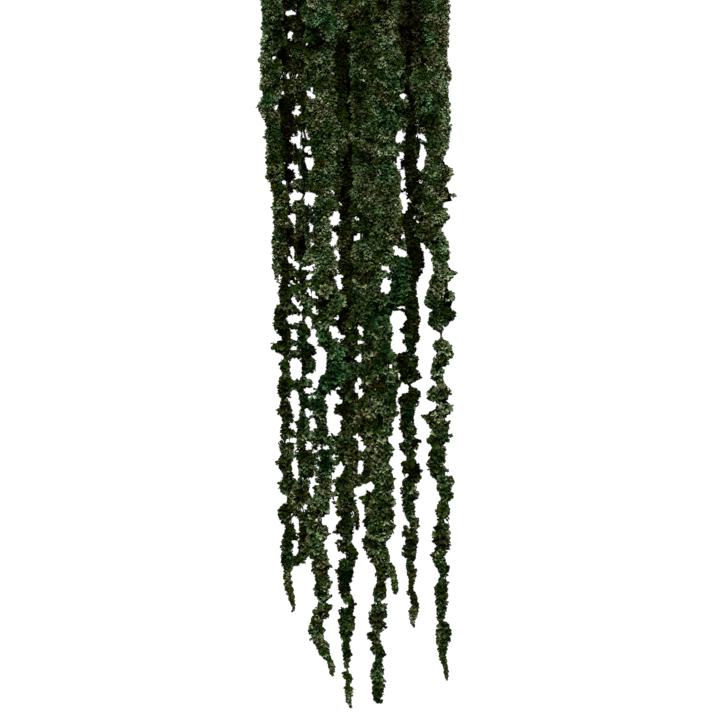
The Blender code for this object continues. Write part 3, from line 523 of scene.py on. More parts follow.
# Side shoots that fill out a tassel: across and down where one starts, where it ends, and its radius.
SHOOTS = {
    "tassel_01": [
        (27, 86, 28, 96, 1.5), (26, 94, 27, 102, 1.3), (28, 112, 28, 118, 1.3), (12, 8, 13, 30, 1),
        (11.5, 83, 11.5, 88, 1)],
    "tassel_02": [
        (45, 128, 46, 136, 1.5), (45, 143, 46, 150, 1.5), (23, 343, 22.5, 348, 1), (44, 351, 45, 359, 1.8),
        (42, 223, 42, 240, 1.7), (41, 285, 41, 296, 1.4), (42, 324, 43, 330, 1.3), (41, 442, 42, 456, 1.5),
        (43, 597, 42.5, 611, 0.7), (45, 535, 46, 541, 1.3)],
    "tassel_03": [
        (57, 122, 58, 131, 1.5), (58, 155.5, 62, 155.5, 1.4), (63, 361, 63.5, 365, 1.4),
        (42.5, 2, 42.5, 9, 1.5), (42.5, 16, 42.5, 30, 1.6), (43, 40, 43, 58, 1.8), (42, 60, 42, 70, 1.8),
        (42, 79, 42, 104, 1.9), (44, 117, 43, 130, 2.8), (46, 152, 40, 160, 2.2), (46, 309, 46, 315, 1.6),
        (59, 552, 41, 566, 1.6), (44, 506, 50, 525, 1.9), (54, 547, 57, 555, 1.7), (61, 389, 63, 395, 1.5)],
    "tassel_04": [
        (85, 272, 89, 275, 1.4), (84, 286, 88, 291, 1.6), (75, 512, 79, 515, 1.4), (59.5, 40, 60, 52, 1.5),
        (60, 82, 60, 90, 1.2), (65, 86, 65, 92, 1.3), (61, 124, 63, 140, 2.2), (84, 200, 83, 214, 1.6),
        (64, 453, 65, 459, 1.3), (77, 586, 80, 589, 1.3), (59, 130, 60, 137, 1.5), (60, 187, 62, 192, 1.7),
        (58, 52, 58, 86, 2), (59, 101, 60, 128, 2.4), (61.5, 138, 61.5, 144, 1.8), (53, 152, 58, 157, 1.6),
        (62, 171, 63, 182, 1.9), (57.5, 205, 58, 222, 2.4), (57.5, 224, 57, 236, 1.8),
        (59, 237, 59, 248, 1.5), (59, 260, 60, 266, 1.5), (62, 269, 62, 275, 1.1), (61, 279, 62, 303, 1.9),
        (60, 310, 61, 316, 1.6), (63, 322, 64, 328, 1), (62, 415, 64, 420, 1.2), (62, 432, 63, 443, 1.4),
        (64, 446, 65, 450, 1.5), (79, 440, 90, 441, 2.4), (80, 450, 85, 453, 1.8), (80, 445, 86, 445, 1.5),
        (65, 486, 65, 501, 1.5), (61, 495, 60, 513, 1.9), (79, 583, 80, 587, 1), (80, 596, 81, 607, 0.9),
        (81, 671, 81.5, 676, 0.8)],
    "tassel_05": [
        (86, 194, 89, 214, 1.9), (84, 226, 85, 233, 2.2), (88, 240, 88.5, 246, 1.7), (88, 261, 87, 267, 1.7)],
    "tassel_06": [
        (86, 389, 89, 395, 1.5), (91, 629, 92, 637, 1.4), (81, 0, 82, 165, 2.6), (102.5, 0, 102.5, 200, 2.2),
        (102, 203, 102, 230, 1.2), (87, 224, 89, 234, 1.5), (83, 325, 84, 327, 1), (84, 458, 86, 462, 1.5),
        (84, 476, 88, 490, 1.6), (104, 555, 105, 558, 1.2), (89, 607, 91, 611, 1), (103, 617, 104, 620, 1.1),
        (97, 700, 99.5, 708, 0.8)],
    "tassel_07": [(104, 518, 107, 530, 1.6)],
    "tassel_08": [
        (108, 497, 111, 501, 1.5), (115, 503, 116, 512, 1.5), (112, 521, 116, 522, 1.5),
        (123.5, 0, 124, 262, 3.8), (124, 314, 124, 362, 1.2), (122, 420, 123, 426, 1),
        (110, 497, 113, 504, 2)],
    "tassel_09": [
        (141, 430, 144, 434, 1.3), (136, 576, 140, 581, 1.3), (133, 617, 135, 621, 1),
        (132, 652, 135, 658, 1.4), (131, 594, 134, 598, 1.4), (133, 586, 135, 592, 1.3),
        (132, 650, 134, 656, 1.4), (140, 257, 140, 267, 1.8), (139, 274, 139, 280, 1.4),
        (136, 574, 137, 581, 1.2), (100, 487, 124, 474, 2.4), (121, 445, 122, 475, 1.8),
        (117, 632, 116, 638, 1), (123, 698, 130, 701, 2)],
    "tassel_11": [
        (147, 398, 152, 399, 1.3), (165, 430, 168, 432, 1.3), (150, 190, 153, 193, 1.6),
        (149, 331, 151, 334, 1.4), (152, 339, 154, 343, 1.4), (164, 348, 167, 352, 1.4),
        (149, 450, 152, 454, 1.3), (166, 525, 169, 530, 1.4), (164, 429, 167, 433, 1.3),
        (148, 331, 152, 332, 1.2), (163, 409, 165, 416, 1.2), (149, 447, 152, 452, 1.5),
        (152, 158, 152, 170, 1.5), (151, 214, 152, 220, 1.5), (167, 335, 167, 343, 1.7),
        (151, 308, 152, 312, 1), (150, 356, 153, 386, 2), (168, 361, 169, 363, 1), (170, 376, 171, 380, 0.9),
        (166, 439, 171, 441, 0.9), (169, 471, 171, 481, 1.3), (151, 466, 152, 473, 1),
        (145, 356, 149, 368, 2.6), (154, 526, 160, 529, 0.9), (161, 622, 164, 627, 0.9)],
    "tassel_12": [
        (173, 142, 175.5, 147, 1.4), (170, 102, 172, 128, 4), (167.5, 134, 168, 158, 1.8),
        (179, 231, 179, 248, 1.2), (171, 250, 172, 255, 1)],
    "tassel_13": [
        (199, 190, 205, 195, 1.3), (201, 275, 204, 279, 1.2), (172, 415, 176, 421, 1.6),
        (195, 609, 196, 615, 1), (200, 350, 203, 355, 1.5), (192, 468, 196, 472, 1.5),
        (196, 360, 199, 363, 1.2), (196, 584, 197, 591, 1.2), (199, 4, 199, 12, 1), (200, 68, 201, 80, 1),
        (200, 167, 202, 172, 1.1), (199, 193, 206, 197, 1.2), (197, 250, 198, 254, 0.9),
        (201, 270, 206, 273, 1.3), (201, 291, 203, 318, 2), (176, 300, 180, 307, 1.8),
        (179, 322, 182, 330, 1.7), (201, 346, 203, 352, 1.2), (179, 387, 180, 393, 1.5),
        (178, 398, 181, 401, 1), (181, 470, 187, 478, 1.4), (178, 420, 179, 427, 1.1),
        (178, 416, 172, 417, 0.9), (175, 440, 178, 442, 0.9), (200, 476, 203, 482, 1.3),
        (202, 494, 203, 497, 0.9), (184, 552, 181, 557, 1), (194, 672, 197, 679, 1)],
}

# Gaps where light comes through between the tassels: each is a round-ended slit, with across and down where
# it starts, across and down where it ends, and half its width.
GAPS = [
    (36, 12.5, 43.5, 12.5, 2), (41, 32.5, 39.5, 37.5, 1.8), (24.8, 58, 24, 60, 1.3), (51, 61, 49, 65, 1.2),
    (36, 71, 35.5, 74, 1.5), (37, 75.5, 38, 76.5, 1.8), (46.3, 75, 46.3, 75.2, 1.5),
    (24.8, 88.2, 24.8, 88.4, 1.1), (32, 91, 34, 94, 1.3), (30, 96, 31.3, 97.5, 1), (62, 89, 62, 93, 1.2),
    (59.5, 94.5, 64, 98, 2), (26, 104, 26, 109, 1.2), (29.8, 109.8, 31, 109.8, 1.1),
    (48.5, 106, 48, 113, 1.5), (44, 112.5, 48, 113, 2), (52.5, 107.5, 54, 110, 1.5), (49, 131, 49, 148, 1),
    (43, 139.5, 48, 139.5, 2.8), (47.5, 144, 49, 147, 1.5), (53, 132, 53.5, 137, 1.3),
    (54, 133, 57, 134, 1.5), (53, 147, 58, 148.5, 1.8), (60, 150, 60.5, 154, 1), (58.5, 161, 61, 162, 3.4),
    (60, 165, 60, 167, 3.2), (59, 175.5, 59, 175.7, 1), (34.3, 161.7, 34.3, 161.9, 1.4),
    (40, 166.5, 47, 166.5, 2.4), (46.5, 168, 47, 177, 1.6), (47, 177, 51, 177.5, 1.2),
    (47, 178.5, 36, 183.5, 1), (32.5, 182, 36, 182.5, 1.7), (67.5, 178.5, 66, 182.5, 0.8),
    (45, 190, 45, 193, 1.2), (43, 196, 51, 196.5, 3.5), (43, 200, 41, 204, 1.5), (56.5, 195, 62, 196.5, 3),
    (56.5, 198, 56.5, 204, 1), (61, 200, 61.5, 205, 1.2), (64, 197, 67, 197, 1), (44, 214, 43.5, 223, 1.5),
    (40, 217, 44, 220, 1.8), (54.2, 216, 55, 218, 0.8), (61.5, 226, 61.5, 231, 1.6),
    (60.5, 243, 63.5, 243, 1.3), (82.3, 191.5, 84.5, 195, 1.1), (86.5, 214, 85, 222, 3),
    (81, 219, 89, 220, 2), (84.5, 235, 85.5, 238, 2), (85, 240, 83, 245, 2.2), (79.5, 244.5, 81, 245, 1),
    (42, 247, 42, 253, 1.8), (36, 256, 41, 261, 2), (43, 254.5, 44, 255, 1.2), (41, 261, 48, 266, 2),
    (47, 268, 46, 270, 1.5), (29.5, 273, 29.5, 281, 0.9), (38.5, 274.3, 40, 274, 1),
    (54, 268.5, 62, 267.5, 2), (62, 268, 68, 268.5, 1), (61.5, 270, 62, 275, 1.3), (61, 276, 58, 279, 1.8),
    (38, 284, 43, 282, 1.2), (43, 282, 49, 282.5, 1.6), (42, 298, 44, 301, 2), (44, 302, 49, 304, 2),
    (49, 304, 51, 309, 1.9), (59.5, 292, 62, 294, 2.8), (62, 295, 66, 298, 2), (61.5, 307.8, 65.5, 309, 1.1),
    (65.5, 309, 67.5, 313, 1.2), (64, 315.5, 68, 315.5, 0.8), (36.5, 315.5, 39, 318, 1),
    (40, 319, 50, 318, 3), (41, 322, 47, 322, 2), (58, 319, 59, 325, 2.8), (61, 325, 62, 330, 1.8),
    (63.5, 331, 64.5, 345, 2), (57, 342, 62, 339, 2), (44, 332, 45, 338, 2.8), (41.5, 337, 47.5, 338, 1.8),
    (86, 251, 87.5, 255, 1.7), (88, 256, 89.5, 260, 1.6), (86, 268, 90, 273, 1.2), (86, 277, 92, 276, 1.8),
    (88, 279, 90, 287, 2.3), (90, 283, 95, 282, 1), (84.5, 291.5, 86.5, 294, 1.3), (89, 291, 89.5, 295, 0.9),
    (87, 316, 86.5, 319, 1.8), (82.5, 329, 85, 335, 2.8), (86, 335, 91, 336.5, 2.8),
    (151, 95.8, 154, 96, 2.3), (155, 98, 157.3, 100.5, 1.2), (146.5, 111, 149, 114, 0.8),
    (149, 133, 151, 135, 2.5), (146, 138.5, 152, 139, 2.5), (146, 142, 146.5, 142.5, 1.5),
    (150, 153, 153, 156, 2), (148, 158, 149, 167, 1.8), (143.5, 163.5, 148, 163, 1.5),
    (152, 171, 154, 177, 1.7), (153, 180.5, 152.5, 187.5, 1.8), (152, 196, 154, 199, 3),
    (154, 202, 155, 208, 2.2), (152, 210, 153.5, 214, 1), (156, 201, 161.5, 199.5, 0.8),
    (168, 136, 173, 138, 1.8), (172, 139, 175.5, 141, 1.2), (172.5, 147, 172.5, 149, 1.8),
    (173, 153, 173.5, 156, 3.3), (171.5, 160, 171, 167, 3), (167.5, 165, 171, 165, 1.5),
    (171, 181, 169.5, 185.5, 1.1), (164.5, 213, 165.5, 219, 0.7), (166, 219.5, 166.5, 222.5, 1.3),
    (170.8, 219.8, 173, 217.8, 1), (151.5, 237.5, 153.5, 236, 1.8), (146, 248, 150, 254, 3),
    (149, 253, 155, 254, 2.8), (132.5, 266.5, 139, 271.5, 2), (136, 283, 135.5, 290, 4.5),
    (137, 278, 137, 279, 1), (105.5, 217.5, 111, 220.5, 1.6), (108.5, 234, 107.5, 240, 2),
    (105, 237, 112, 236.5, 1.8), (105, 243.5, 104.5, 245, 0.8), (108.5, 299, 108.5, 299.2, 1.2),
    (129.5, 304.5, 128, 308.5, 0.8), (133, 305, 135, 306, 1.4), (130.5, 315.5, 130.5, 315.7, 1.3),
    (147, 307, 154, 307, 1.5), (145, 315, 152, 316, 4.5), (143, 322, 148, 322, 3.5),
    (145.5, 326, 146, 333, 2.8), (143, 338, 150, 338, 2.5), (149, 336.5, 154, 337, 2),
    (145, 347, 153, 349, 4.3), (141, 315, 141, 321, 1.5), (149, 351, 155, 351.5, 1.6),
    (144, 350, 146, 352, 2), (109.5, 324, 106, 326.5, 1.2), (110, 328, 111, 335, 2), (109, 337, 109, 341, 1),
    (107.5, 343, 112, 343, 1.5), (41, 348.5, 47, 347.5, 1.7), (42.5, 350, 42, 353, 1.3),
    (45.5, 364, 46, 375, 5.7), (39, 361.5, 41, 362, 1), (72, 352, 72, 362, 4.5), (67, 356, 62.5, 357, 1.5),
    (71, 364, 71, 371, 4.8), (57, 377, 67, 376, 2.3), (66, 380, 66, 386, 1.8), (63, 389, 65, 385, 1.2),
    (54, 389.5, 62, 390.5, 1.7), (55.5, 389.5, 59, 393, 1.2), (59, 397.5, 66, 397, 1.5),
    (69, 386, 71, 388, 1), (44, 394, 45, 400, 4), (38, 399, 40, 400, 1.5), (44, 402, 46, 410, 4),
    (47, 411, 46, 418, 2), (42, 426, 46, 430, 2.3), (46, 436, 44, 440, 1), (35, 440.5, 45, 441, 1.8),
    (57, 411.5, 63, 414.5, 1.8), (56.5, 411, 58, 415, 2), (62.5, 420, 61.5, 430, 2.3), (64, 424, 65, 427, 2),
    (58, 443, 57, 450, 2.3), (61, 441, 61, 446, 1.2), (69.5, 443, 68, 450, 1.2), (83, 390, 89, 387.5, 1.8),
    (78.5, 397, 79, 403, 3.5), (84, 395, 88, 402, 3.8), (81, 407, 81, 412, 2.5), (79, 417, 90, 418.5, 2.8),
    (81, 424, 86, 430, 4.2), (79, 433, 79, 438, 1.2), (108.5, 380, 108, 389, 3.1), (172, 244, 175, 250, 1.8),
    (178, 250, 180, 255, 1.6), (111, 392, 110, 398, 2.6), (110.5, 355, 106, 360, 1.5),
    (106, 360.5, 111, 360, 1.6), (110, 370.5, 112, 370.5, 1.6), (126, 409, 126, 414, 1.2),
    (106, 435, 110, 440, 2.3), (110.5, 442, 110.5, 450, 2), (133, 368.5, 135, 367, 1),
    (138.5, 366.5, 141, 366, 2.9), (134, 369, 141, 367.5, 1.4), (148.5, 374, 148, 377, 1.5),
    (153, 386, 157, 386, 1.8), (150, 391, 154, 390, 3), (148, 396, 150, 396, 1.8),
    (147.8, 403, 147.8, 411, 1.4), (148, 417, 150.5, 417, 1.3), (146, 420, 145, 427, 3),
    (147.5, 430, 149, 434, 2), (141, 440, 150, 440, 3.2), (144.5, 447, 147, 448, 2),
    (157.3, 392, 157.3, 392.5, 1), (169, 347, 168, 356, 1.5), (168, 368, 170, 368, 1.5),
    (163.5, 385.5, 172, 386, 2.5), (166, 419, 170, 422, 2.5), (164, 436.5, 170, 436.5, 1),
    (183, 351.5, 188, 351.5, 1), (194, 367.5, 200, 367, 1.8), (184, 384.5, 188, 384.8, 0.9),
    (191, 401, 199, 401, 1.2), (180, 406, 188, 406, 2), (194, 418, 199, 418.5, 1.5), (45, 452, 48, 451, 1),
    (44, 460, 44, 465, 2.5), (48, 461, 49, 465, 1.2), (44, 467, 46, 478, 2.3), (48, 471, 49, 472, 1.4),
    (54, 479.5, 58, 478, 1.4), (56, 449, 60, 446, 1.5), (61.5, 453.5, 65, 451, 1.2),
    (68.5, 448, 68.5, 450, 1.4), (67.5, 458, 67.5, 458.3, 1.5), (72.5, 449, 77, 448, 2),
    (74, 456.5, 74, 457.5, 1.1), (84, 455.5, 84, 458.5, 1.6), (65.5, 467.5, 69, 466.5, 1),
    (66.5, 469, 66.5, 472, 1.3), (62, 481, 67, 484, 2.3), (61, 485, 61, 490, 1.5), (62, 492, 63, 496, 1.8),
    (73.5, 480, 76, 482, 1.2), (56, 506, 54, 510, 2.5), (61, 491, 63, 492, 1.8), (52, 511, 53, 511, 1.3),
    (68, 500.5, 68, 501.5, 1), (56, 519, 61, 515.5, 0.9), (41.5, 516, 46, 521, 1.5), (45, 520, 47, 528, 2.7),
    (48, 529, 47, 535, 1.3), (66, 518, 67.5, 520.5, 1.3), (40, 541.5, 44, 543, 1), (47, 541, 53, 537, 1.1),
    (45.5, 545, 45.5, 552, 3.1), (46, 555, 43, 557, 1), (91, 466, 88, 470, 3.3), (85, 472, 83, 479, 2),
    (84, 484, 84, 491, 1.7), (82, 500, 88, 498, 1.5), (82.5, 503, 82.5, 511, 2.7), (76, 519, 87, 519, 4),
    (79, 525, 83, 527, 2.5), (82.5, 529, 82.5, 533, 1.5), (83, 538, 90, 538, 2.8), (81, 545, 83, 556, 4.3),
    (87, 557.5, 95, 556.5, 2.1), (82, 562, 86, 567, 3.3), (32, 476.5, 34, 476.5, 1.2),
    (34, 498, 35, 501, 2.5), (32, 507.5, 34, 507.5, 1), (109, 447, 114, 447, 2), (111, 450, 111, 454, 1.3),
    (110, 463, 110, 472, 2.6), (108, 491, 117, 487, 4), (111, 494, 113, 493, 3), (120, 487, 122, 486, 2.5),
    (105.5, 497, 106.5, 500, 1.2), (109, 502, 112, 508, 2.6), (112.5, 512, 112.5, 517, 2.8),
    (107.5, 536, 107.5, 546, 4), (97.5, 517.5, 102, 517.5, 1.2), (103.5, 525, 103, 531, 1.2),
    (139, 465, 143, 465, 1.2), (143.5, 474.5, 147, 474.5, 1.2), (143, 484, 147, 483.5, 1),
    (144, 495, 147, 495, 3), (142, 511, 146, 510.5, 1.2), (141.5, 521.5, 147, 521, 1.6),
    (146, 534, 147, 537, 2.5), (138.5, 543.5, 144, 542, 2.5), (139, 553, 143, 553.5, 1.3),
    (156, 477, 160, 475, 1), (157, 524, 160, 527, 2.2), (187, 472.5, 190, 474, 1.2),
    (196, 474.5, 200, 474.5, 1.6), (195.5, 475.5, 199, 475.5, 1.2), (195, 521, 199, 521, 1.5),
    (193, 553, 197, 552.5, 1.5), (64, 603, 69, 603.5, 1.2), (77, 603, 81, 602.5, 1), (76, 593, 81, 593, 1),
    (68.5, 614, 70, 613, 1), (74, 624, 79, 623, 1.5), (75, 634, 78, 634.5, 1.2), (92, 606, 97, 607, 2.4),
    (87, 474, 92, 474, 1.5), (100.5, 585, 104, 585, 1.2), (101, 593.5, 104, 594, 1.5),
    (93, 669, 95.5, 670.5, 1.2), (122, 602.5, 126, 603, 1), (132, 602.5, 136, 602.5, 1.2),
    (129.5, 633, 134, 634.5, 1.5), (133, 659.5, 136, 660, 1.2), (121, 660, 124, 660, 2),
    (163.5, 589.8, 167, 589.8, 1), (155, 589.5, 158.5, 589.5, 1), (196, 578.5, 200, 578, 1.5),
    (195, 621, 200, 621, 1.5), (185, 578, 188, 577, 2.5),
]

# How pale a tassel is at places down its length, and its hue: down, then from -1 for nearly black to 1 for
# very pale, then from -1 for brown to 1 for bluish green. The paleness is partly the tassels' own colour and
# partly painted light and shade: the tassels behind are painted dark as shade, the front ones pale as if lit.
# Tips dry to olive.
TINTS_AND_PAINTED_LIGHT = {
    "tassel_01": [(0, 0.3, 0.1), (60, 0.4, 0.1), (110, 0.3, 0), (125, 0, 0.1), (200, 0, 0), (282, 0.1, -0.3)],
    "tassel_02": [
        (0, -0.9, -0.7), (60, -0.9, -0.7), (72, -0.2, -0.3), (90, -0.2, -0.3), (102, -0.9, -0.7),
        (145, -0.9, -0.8), (153, -0.4, -0.2), (162, -0.9, -0.8), (250, -0.8, -0.6), (290, -0.7, -0.5),
        (320, -0.2, 0), (380, -0.2, -0.1), (480, -0.3, -0.3), (540, -0.4, 0), (570, -0.1, 0),
        (612, -0.2, -0.4)],
    "tassel_03": [
        (0, -0.7, -0.6), (40, -0.6, -0.5), (70, -0.1, -0.2), (90, -0.1, -0.2), (100, -0.7, -0.6),
        (115, -0.1, 0), (125, -0.1, 0), (210, -0.1, -0.1), (240, -0.8, -0.8), (262, 0, 0), (330, -0.2, 0.3),
        (400, -0.2, 0.4), (440, 0, -0.1), (490, 0, -0.2), (562, -0.3, -0.2)],
    "tassel_04": [
        (0, 0.5, 0.1), (60, 0.3, 0.2), (110, 0.4, 0), (200, 0.4, 0.2), (280, 0.5, -0.1), (310, 0.1, 0.3),
        (340, 0.3, 0.3), (362, 0.1, 0.9), (410, -0.1, 0.7), (430, 0.2, 0.1), (465, 0, 0.4), (500, 0.1, 0.3),
        (525, 0.4, -0.1), (600, 0.2, -0.1), (650, 0.15, 0), (677, 0.2, -0.3)],
    "tassel_05": [
        (0, -0.1, 0), (30, -0.2, -0.1), (45, -0.9, -0.7), (75, -0.8, -0.6), (95, -1, -0.4), (120, -0.2, 0),
        (207, -0.4, -0.4)],
    "tassel_06": [
        (0, -0.2, 0), (50, -0.9, -0.7), (120, -0.8, -0.7), (180, -0.5, -0.5), (260, -0.5, -0.5),
        (330, -0.5, -0.6), (400, -0.3, -0.4), (480, -0.3, 0.1), (560, -0.5, 0.1), (610, -0.8, -0.2),
        (640, -0.1, 0), (710, 0.1, -0.4)],
    "tassel_07": [(0, -0.2, 0), (300, -0.1, -0.1), (530, -0.1, -0.3)],
    "tassel_08": [
        (0, -0.1, -0.2), (20, -0.4, -0.2), (60, 0, -0.1), (150, 0.2, 0), (250, 0.1, -0.1), (320, -0.1, 0.2),
        (400, -0.1, -0.4), (470, -0.2, -0.3), (560, 0, 0)],
    "tassel_09": [
        (0, 0.3, 0.1), (50, 0.4, 0.1), (110, 0.1, 0.3), (200, 0.4, 0), (260, 0.1, 0), (320, 0, 0.5),
        (400, 0.1, 0.1), (460, 0.25, -0.1), (520, 0.1, 0.1), (550, 0, 0), (590, 0, 0.1), (617, -0.1, 0),
        (624, -0.4, -0.8), (632, 0, 0.1), (680, -0.1, 0.4), (696, -0.4, 0.2), (703, -0.8, 0)],
    "tassel_10": [
        (0, 0.2, 0.1), (240, 0.1, 0.1), (265, 0, 0.7), (300, -0.2, 0.9), (330, -0.2, 0.3), (450, 0.2, -0.1),
        (596, 0.2, -0.4)],
    "tassel_11": [
        (0, -1, -0.9), (70, -0.9, -0.8), (150, -0.8, -0.7), (250, -0.9, -0.7), (330, -0.7, -0.4),
        (400, -0.4, -0.1), (470, -0.4, 0), (550, -0.3, 0), (600, -0.3, -0.3), (629, -0.2, -0.4)],
    "tassel_12": [
        (0, 0.1, 0.2), (80, 0.3, 0), (115, -0.2, 0.1), (130, -0.5, 0), (165, -0.1, 0), (200, 0.2, -0.1),
        (251, 0.1, -0.1)],
    "tassel_13": [
        (0, 0.7, -0.2), (60, 0.6, -0.1), (180, 0.6, -0.1), (240, 0.4, 0), (300, 0.2, 0.1), (307, -0.3, 0.6),
        (332, -0.4, 0.5), (340, 0.4, -0.1), (400, 0.3, 0), (425, 0.3, 0), (438, 0, 0.4), (450, -0.4, -0.3),
        (472, -0.1, 0), (490, 0.3, -0.1), (530, 0.1, 0.2), (545, -0.3, -0.7), (552, 0.1, 0), (570, 0, 0.2),
        (600, -0.1, 0.2), (640, -0.25, 0), (681, -0.5, -0.2)],
}

# Where the flowers are nearly black, a little dimmer, paler, bluish green or brownish: across, down, and half
# the size either way. The nearly black and dimmer patches are painted shade and the paler ones painted light;
# the bluish green and brownish ones are the flowers' own hue.
HUE_AND_PAINTED_LIGHT_PATCHES = {
    "dark": [
        (42, 5, 14, 8), (28, 35, 6, 30), (70, 47, 22, 7), (161, 22, 16, 44), (40, 108, 9, 12),
        (41, 140, 15, 28), (95, 72, 6, 38), (116, 158, 11, 9), (171, 125, 9, 7), (168, 190, 6, 24),
        (60, 215, 7, 26), (118, 278, 7, 7), (31, 335, 6, 14), (122, 545, 8, 7), (128, 615, 6, 5),
        (192, 540, 8, 6), (96, 178, 8, 14), (37, 235, 9, 12), (55, 165, 5, 20)],
    "pale": [
        (9, 55, 7, 55), (197, 70, 9, 90), (190, 185, 13, 42), (91, 135, 7, 9), (86, 25, 8, 10),
        (131, 88, 8, 8), (136, 220, 9, 16), (126, 255, 8, 9), (73, 265, 9, 16), (81, 305, 7, 8),
        (196, 350, 8, 9), (196, 408, 8, 9), (136, 435, 8, 9), (131, 470, 8, 9), (71, 540, 8, 14),
        (68, 615, 6, 8), (13, 35, 6, 20), (43, 85, 6, 8), (90, 132, 7, 8), (135, 45, 7, 10), (113, 70, 6, 9),
        (138, 140, 8, 9), (172, 105, 12, 9), (200, 40, 6, 14), (200, 105, 6, 10), (133, 260, 7, 7),
        (195, 275, 8, 10), (143, 360, 7, 6), (133, 385, 8, 8), (70, 515, 7, 7), (140, 530, 7, 8),
        (200, 480, 7, 9), (18, 37, 6, 12), (65, 12, 9, 9), (135, 22, 9, 9), (40, 87, 7, 8), (95, 140, 8, 9),
        (194, 42, 8, 14), (200, 175, 9, 14), (200, 250, 8, 12), (150, 285, 9, 9), (83, 305, 8, 9),
        (193, 295, 8, 9), (90, 370, 8, 10), (188, 412, 8, 8), (138, 441, 8, 11), (123, 445, 8, 8),
        (38, 500, 9, 9), (88, 513, 8, 9), (138, 530, 8, 9), (163, 615, 8, 9), (128, 610, 8, 9),
        (128, 155, 8, 12), (196, 112, 9, 16), (196, 150, 9, 12), (65, 215, 7, 8), (118, 292, 8, 9),
        (200, 270, 8, 10), (63, 548, 8, 8), (160, 455, 8, 12), (140, 505, 8, 10), (98, 560, 8, 10),
        (95, 600, 7, 9), (103, 10, 8, 7), (93, 177, 7, 9), (63, 213, 8, 9), (30, 210, 8, 10),
        (190, 185, 9, 9), (83, 260, 7, 9), (33, 310, 8, 9), (134, 440, 10, 14), (203, 485, 8, 8),
        (190, 555, 9, 8), (75, 590, 8, 9), (133, 555, 9, 9), (138, 47, 7, 8), (190, 37, 9, 9),
        (141, 177, 8, 10), (148, 203, 8, 9), (90, 242, 7, 8), (196, 215, 9, 12), (198, 277, 9, 12),
        (143, 350, 8, 9), (138, 372, 9, 9), (192, 450, 9, 9), (196, 470, 8, 9), (163, 530, 8, 9),
        (78, 485, 8, 9), (98, 625, 7, 9)],
    "teal": [
        (75, 25, 15, 15), (135, 120, 10, 14), (50, 340, 8, 12), (145, 285, 14, 22), (138, 309, 10, 6),
        (65, 400, 10, 9), (160, 410, 8, 12), (125, 320, 8, 12), (72, 462, 9, 9), (95, 575, 7, 15)],
    "dim": [
        (58, 38, 8, 12), (63, 92, 6, 8), (104, 95, 8, 14), (78, 162, 9, 10), (105, 155, 9, 14),
        (120, 170, 10, 10), (140, 82, 9, 8), (149, 37, 8, 26), (28, 68, 6, 12), (80, 207, 9, 8),
        (123, 206, 12, 6), (138, 215, 7, 8), (170, 228, 8, 10), (63, 245, 7, 10), (160, 265, 8, 10),
        (75, 282, 8, 8), (95, 345, 8, 12), (63, 350, 7, 10), (148, 380, 7, 8), (68, 407, 8, 9),
        (96, 410, 8, 9), (50, 425, 8, 9), (163, 475, 8, 10), (73, 537, 7, 8), (193, 345, 8, 8),
        (70, 585, 8, 9), (130, 590, 8, 10), (130, 660, 7, 9), (163, 595, 7, 8), (110, 118, 9, 9),
        (119, 140, 7, 12), (76, 80, 8, 9), (145, 8, 12, 12), (55, 128, 6, 7), (86, 163, 6, 9),
        (176, 200, 8, 9), (181, 232, 8, 10), (83, 217, 6, 7), (108, 310, 8, 9), (118, 345, 7, 9),
        (35, 390, 7, 8), (73, 380, 8, 7), (128, 385, 7, 9), (127, 474, 9, 7), (75, 465, 8, 9),
        (121, 525, 7, 12), (196, 508, 7, 8), (188, 440, 8, 8), (163, 550, 7, 10), (67, 628, 8, 12),
        (98, 655, 6, 10), (113, 58, 9, 9), (125, 67, 10, 9), (152, 55, 8, 14), (103, 47, 8, 8),
        (80, 95, 8, 9), (140, 128, 8, 6), (100, 205, 8, 9), (96, 212, 7, 8), (85, 175, 7, 9),
        (102, 270, 9, 8), (75, 292, 7, 8), (38, 330, 7, 8), (35, 562, 8, 8), (193, 615, 8, 14),
        (143, 490, 8, 9), (30, 70, 6, 14), (55, 250, 8, 12), (24, 75, 6, 20), (78, 92, 9, 7),
        (115, 107, 10, 7), (140, 134, 9, 6), (125, 160, 9, 8), (37, 175, 7, 9), (118, 186, 8, 8),
        (62, 247, 9, 12), (68, 290, 8, 8), (55, 355, 8, 8), (70, 427, 8, 8), (93, 512, 8, 9), (58, 527, 8, 8),
        (193, 572, 8, 9), (80, 25, 8, 8), (123, 45, 8, 8), (103, 75, 8, 8), (130, 107, 8, 7), (83, 127, 8, 8),
        (80, 145, 7, 8), (58, 190, 8, 8), (112, 190, 8, 9), (53, 275, 8, 9), (100, 395, 8, 8),
        (53, 455, 9, 9), (48, 492, 12, 9), (119, 470, 7, 9), (62, 541, 8, 9), (188, 395, 8, 9),
        (163, 608, 7, 8), (128, 650, 7, 9), (108, 220, 8, 7)],
    "brown": [(127, 386, 10, 4), (178, 545, 9, 5), (160, 30, 12, 40)],
}


def smooth(values, low, high):
    """0 at low and before, 1 at high and beyond, and smooth between them."""
    share = np.clip((values - low) / (high - low), 0, 1)
    return share * share * (3 - 2 * share)


def at(line, down):
    """The middle of a tassel, its half width and its half height at a place."""
    return [float(np.interp(down, line["down"], line[key])) for key in ("x", "z", "half", "rise")]


def over_length(ends, coarse):
    """A value that changes evenly from its fine to its coarse one."""
    fine, rough = ends
    return fine + (rough - fine) * coarse


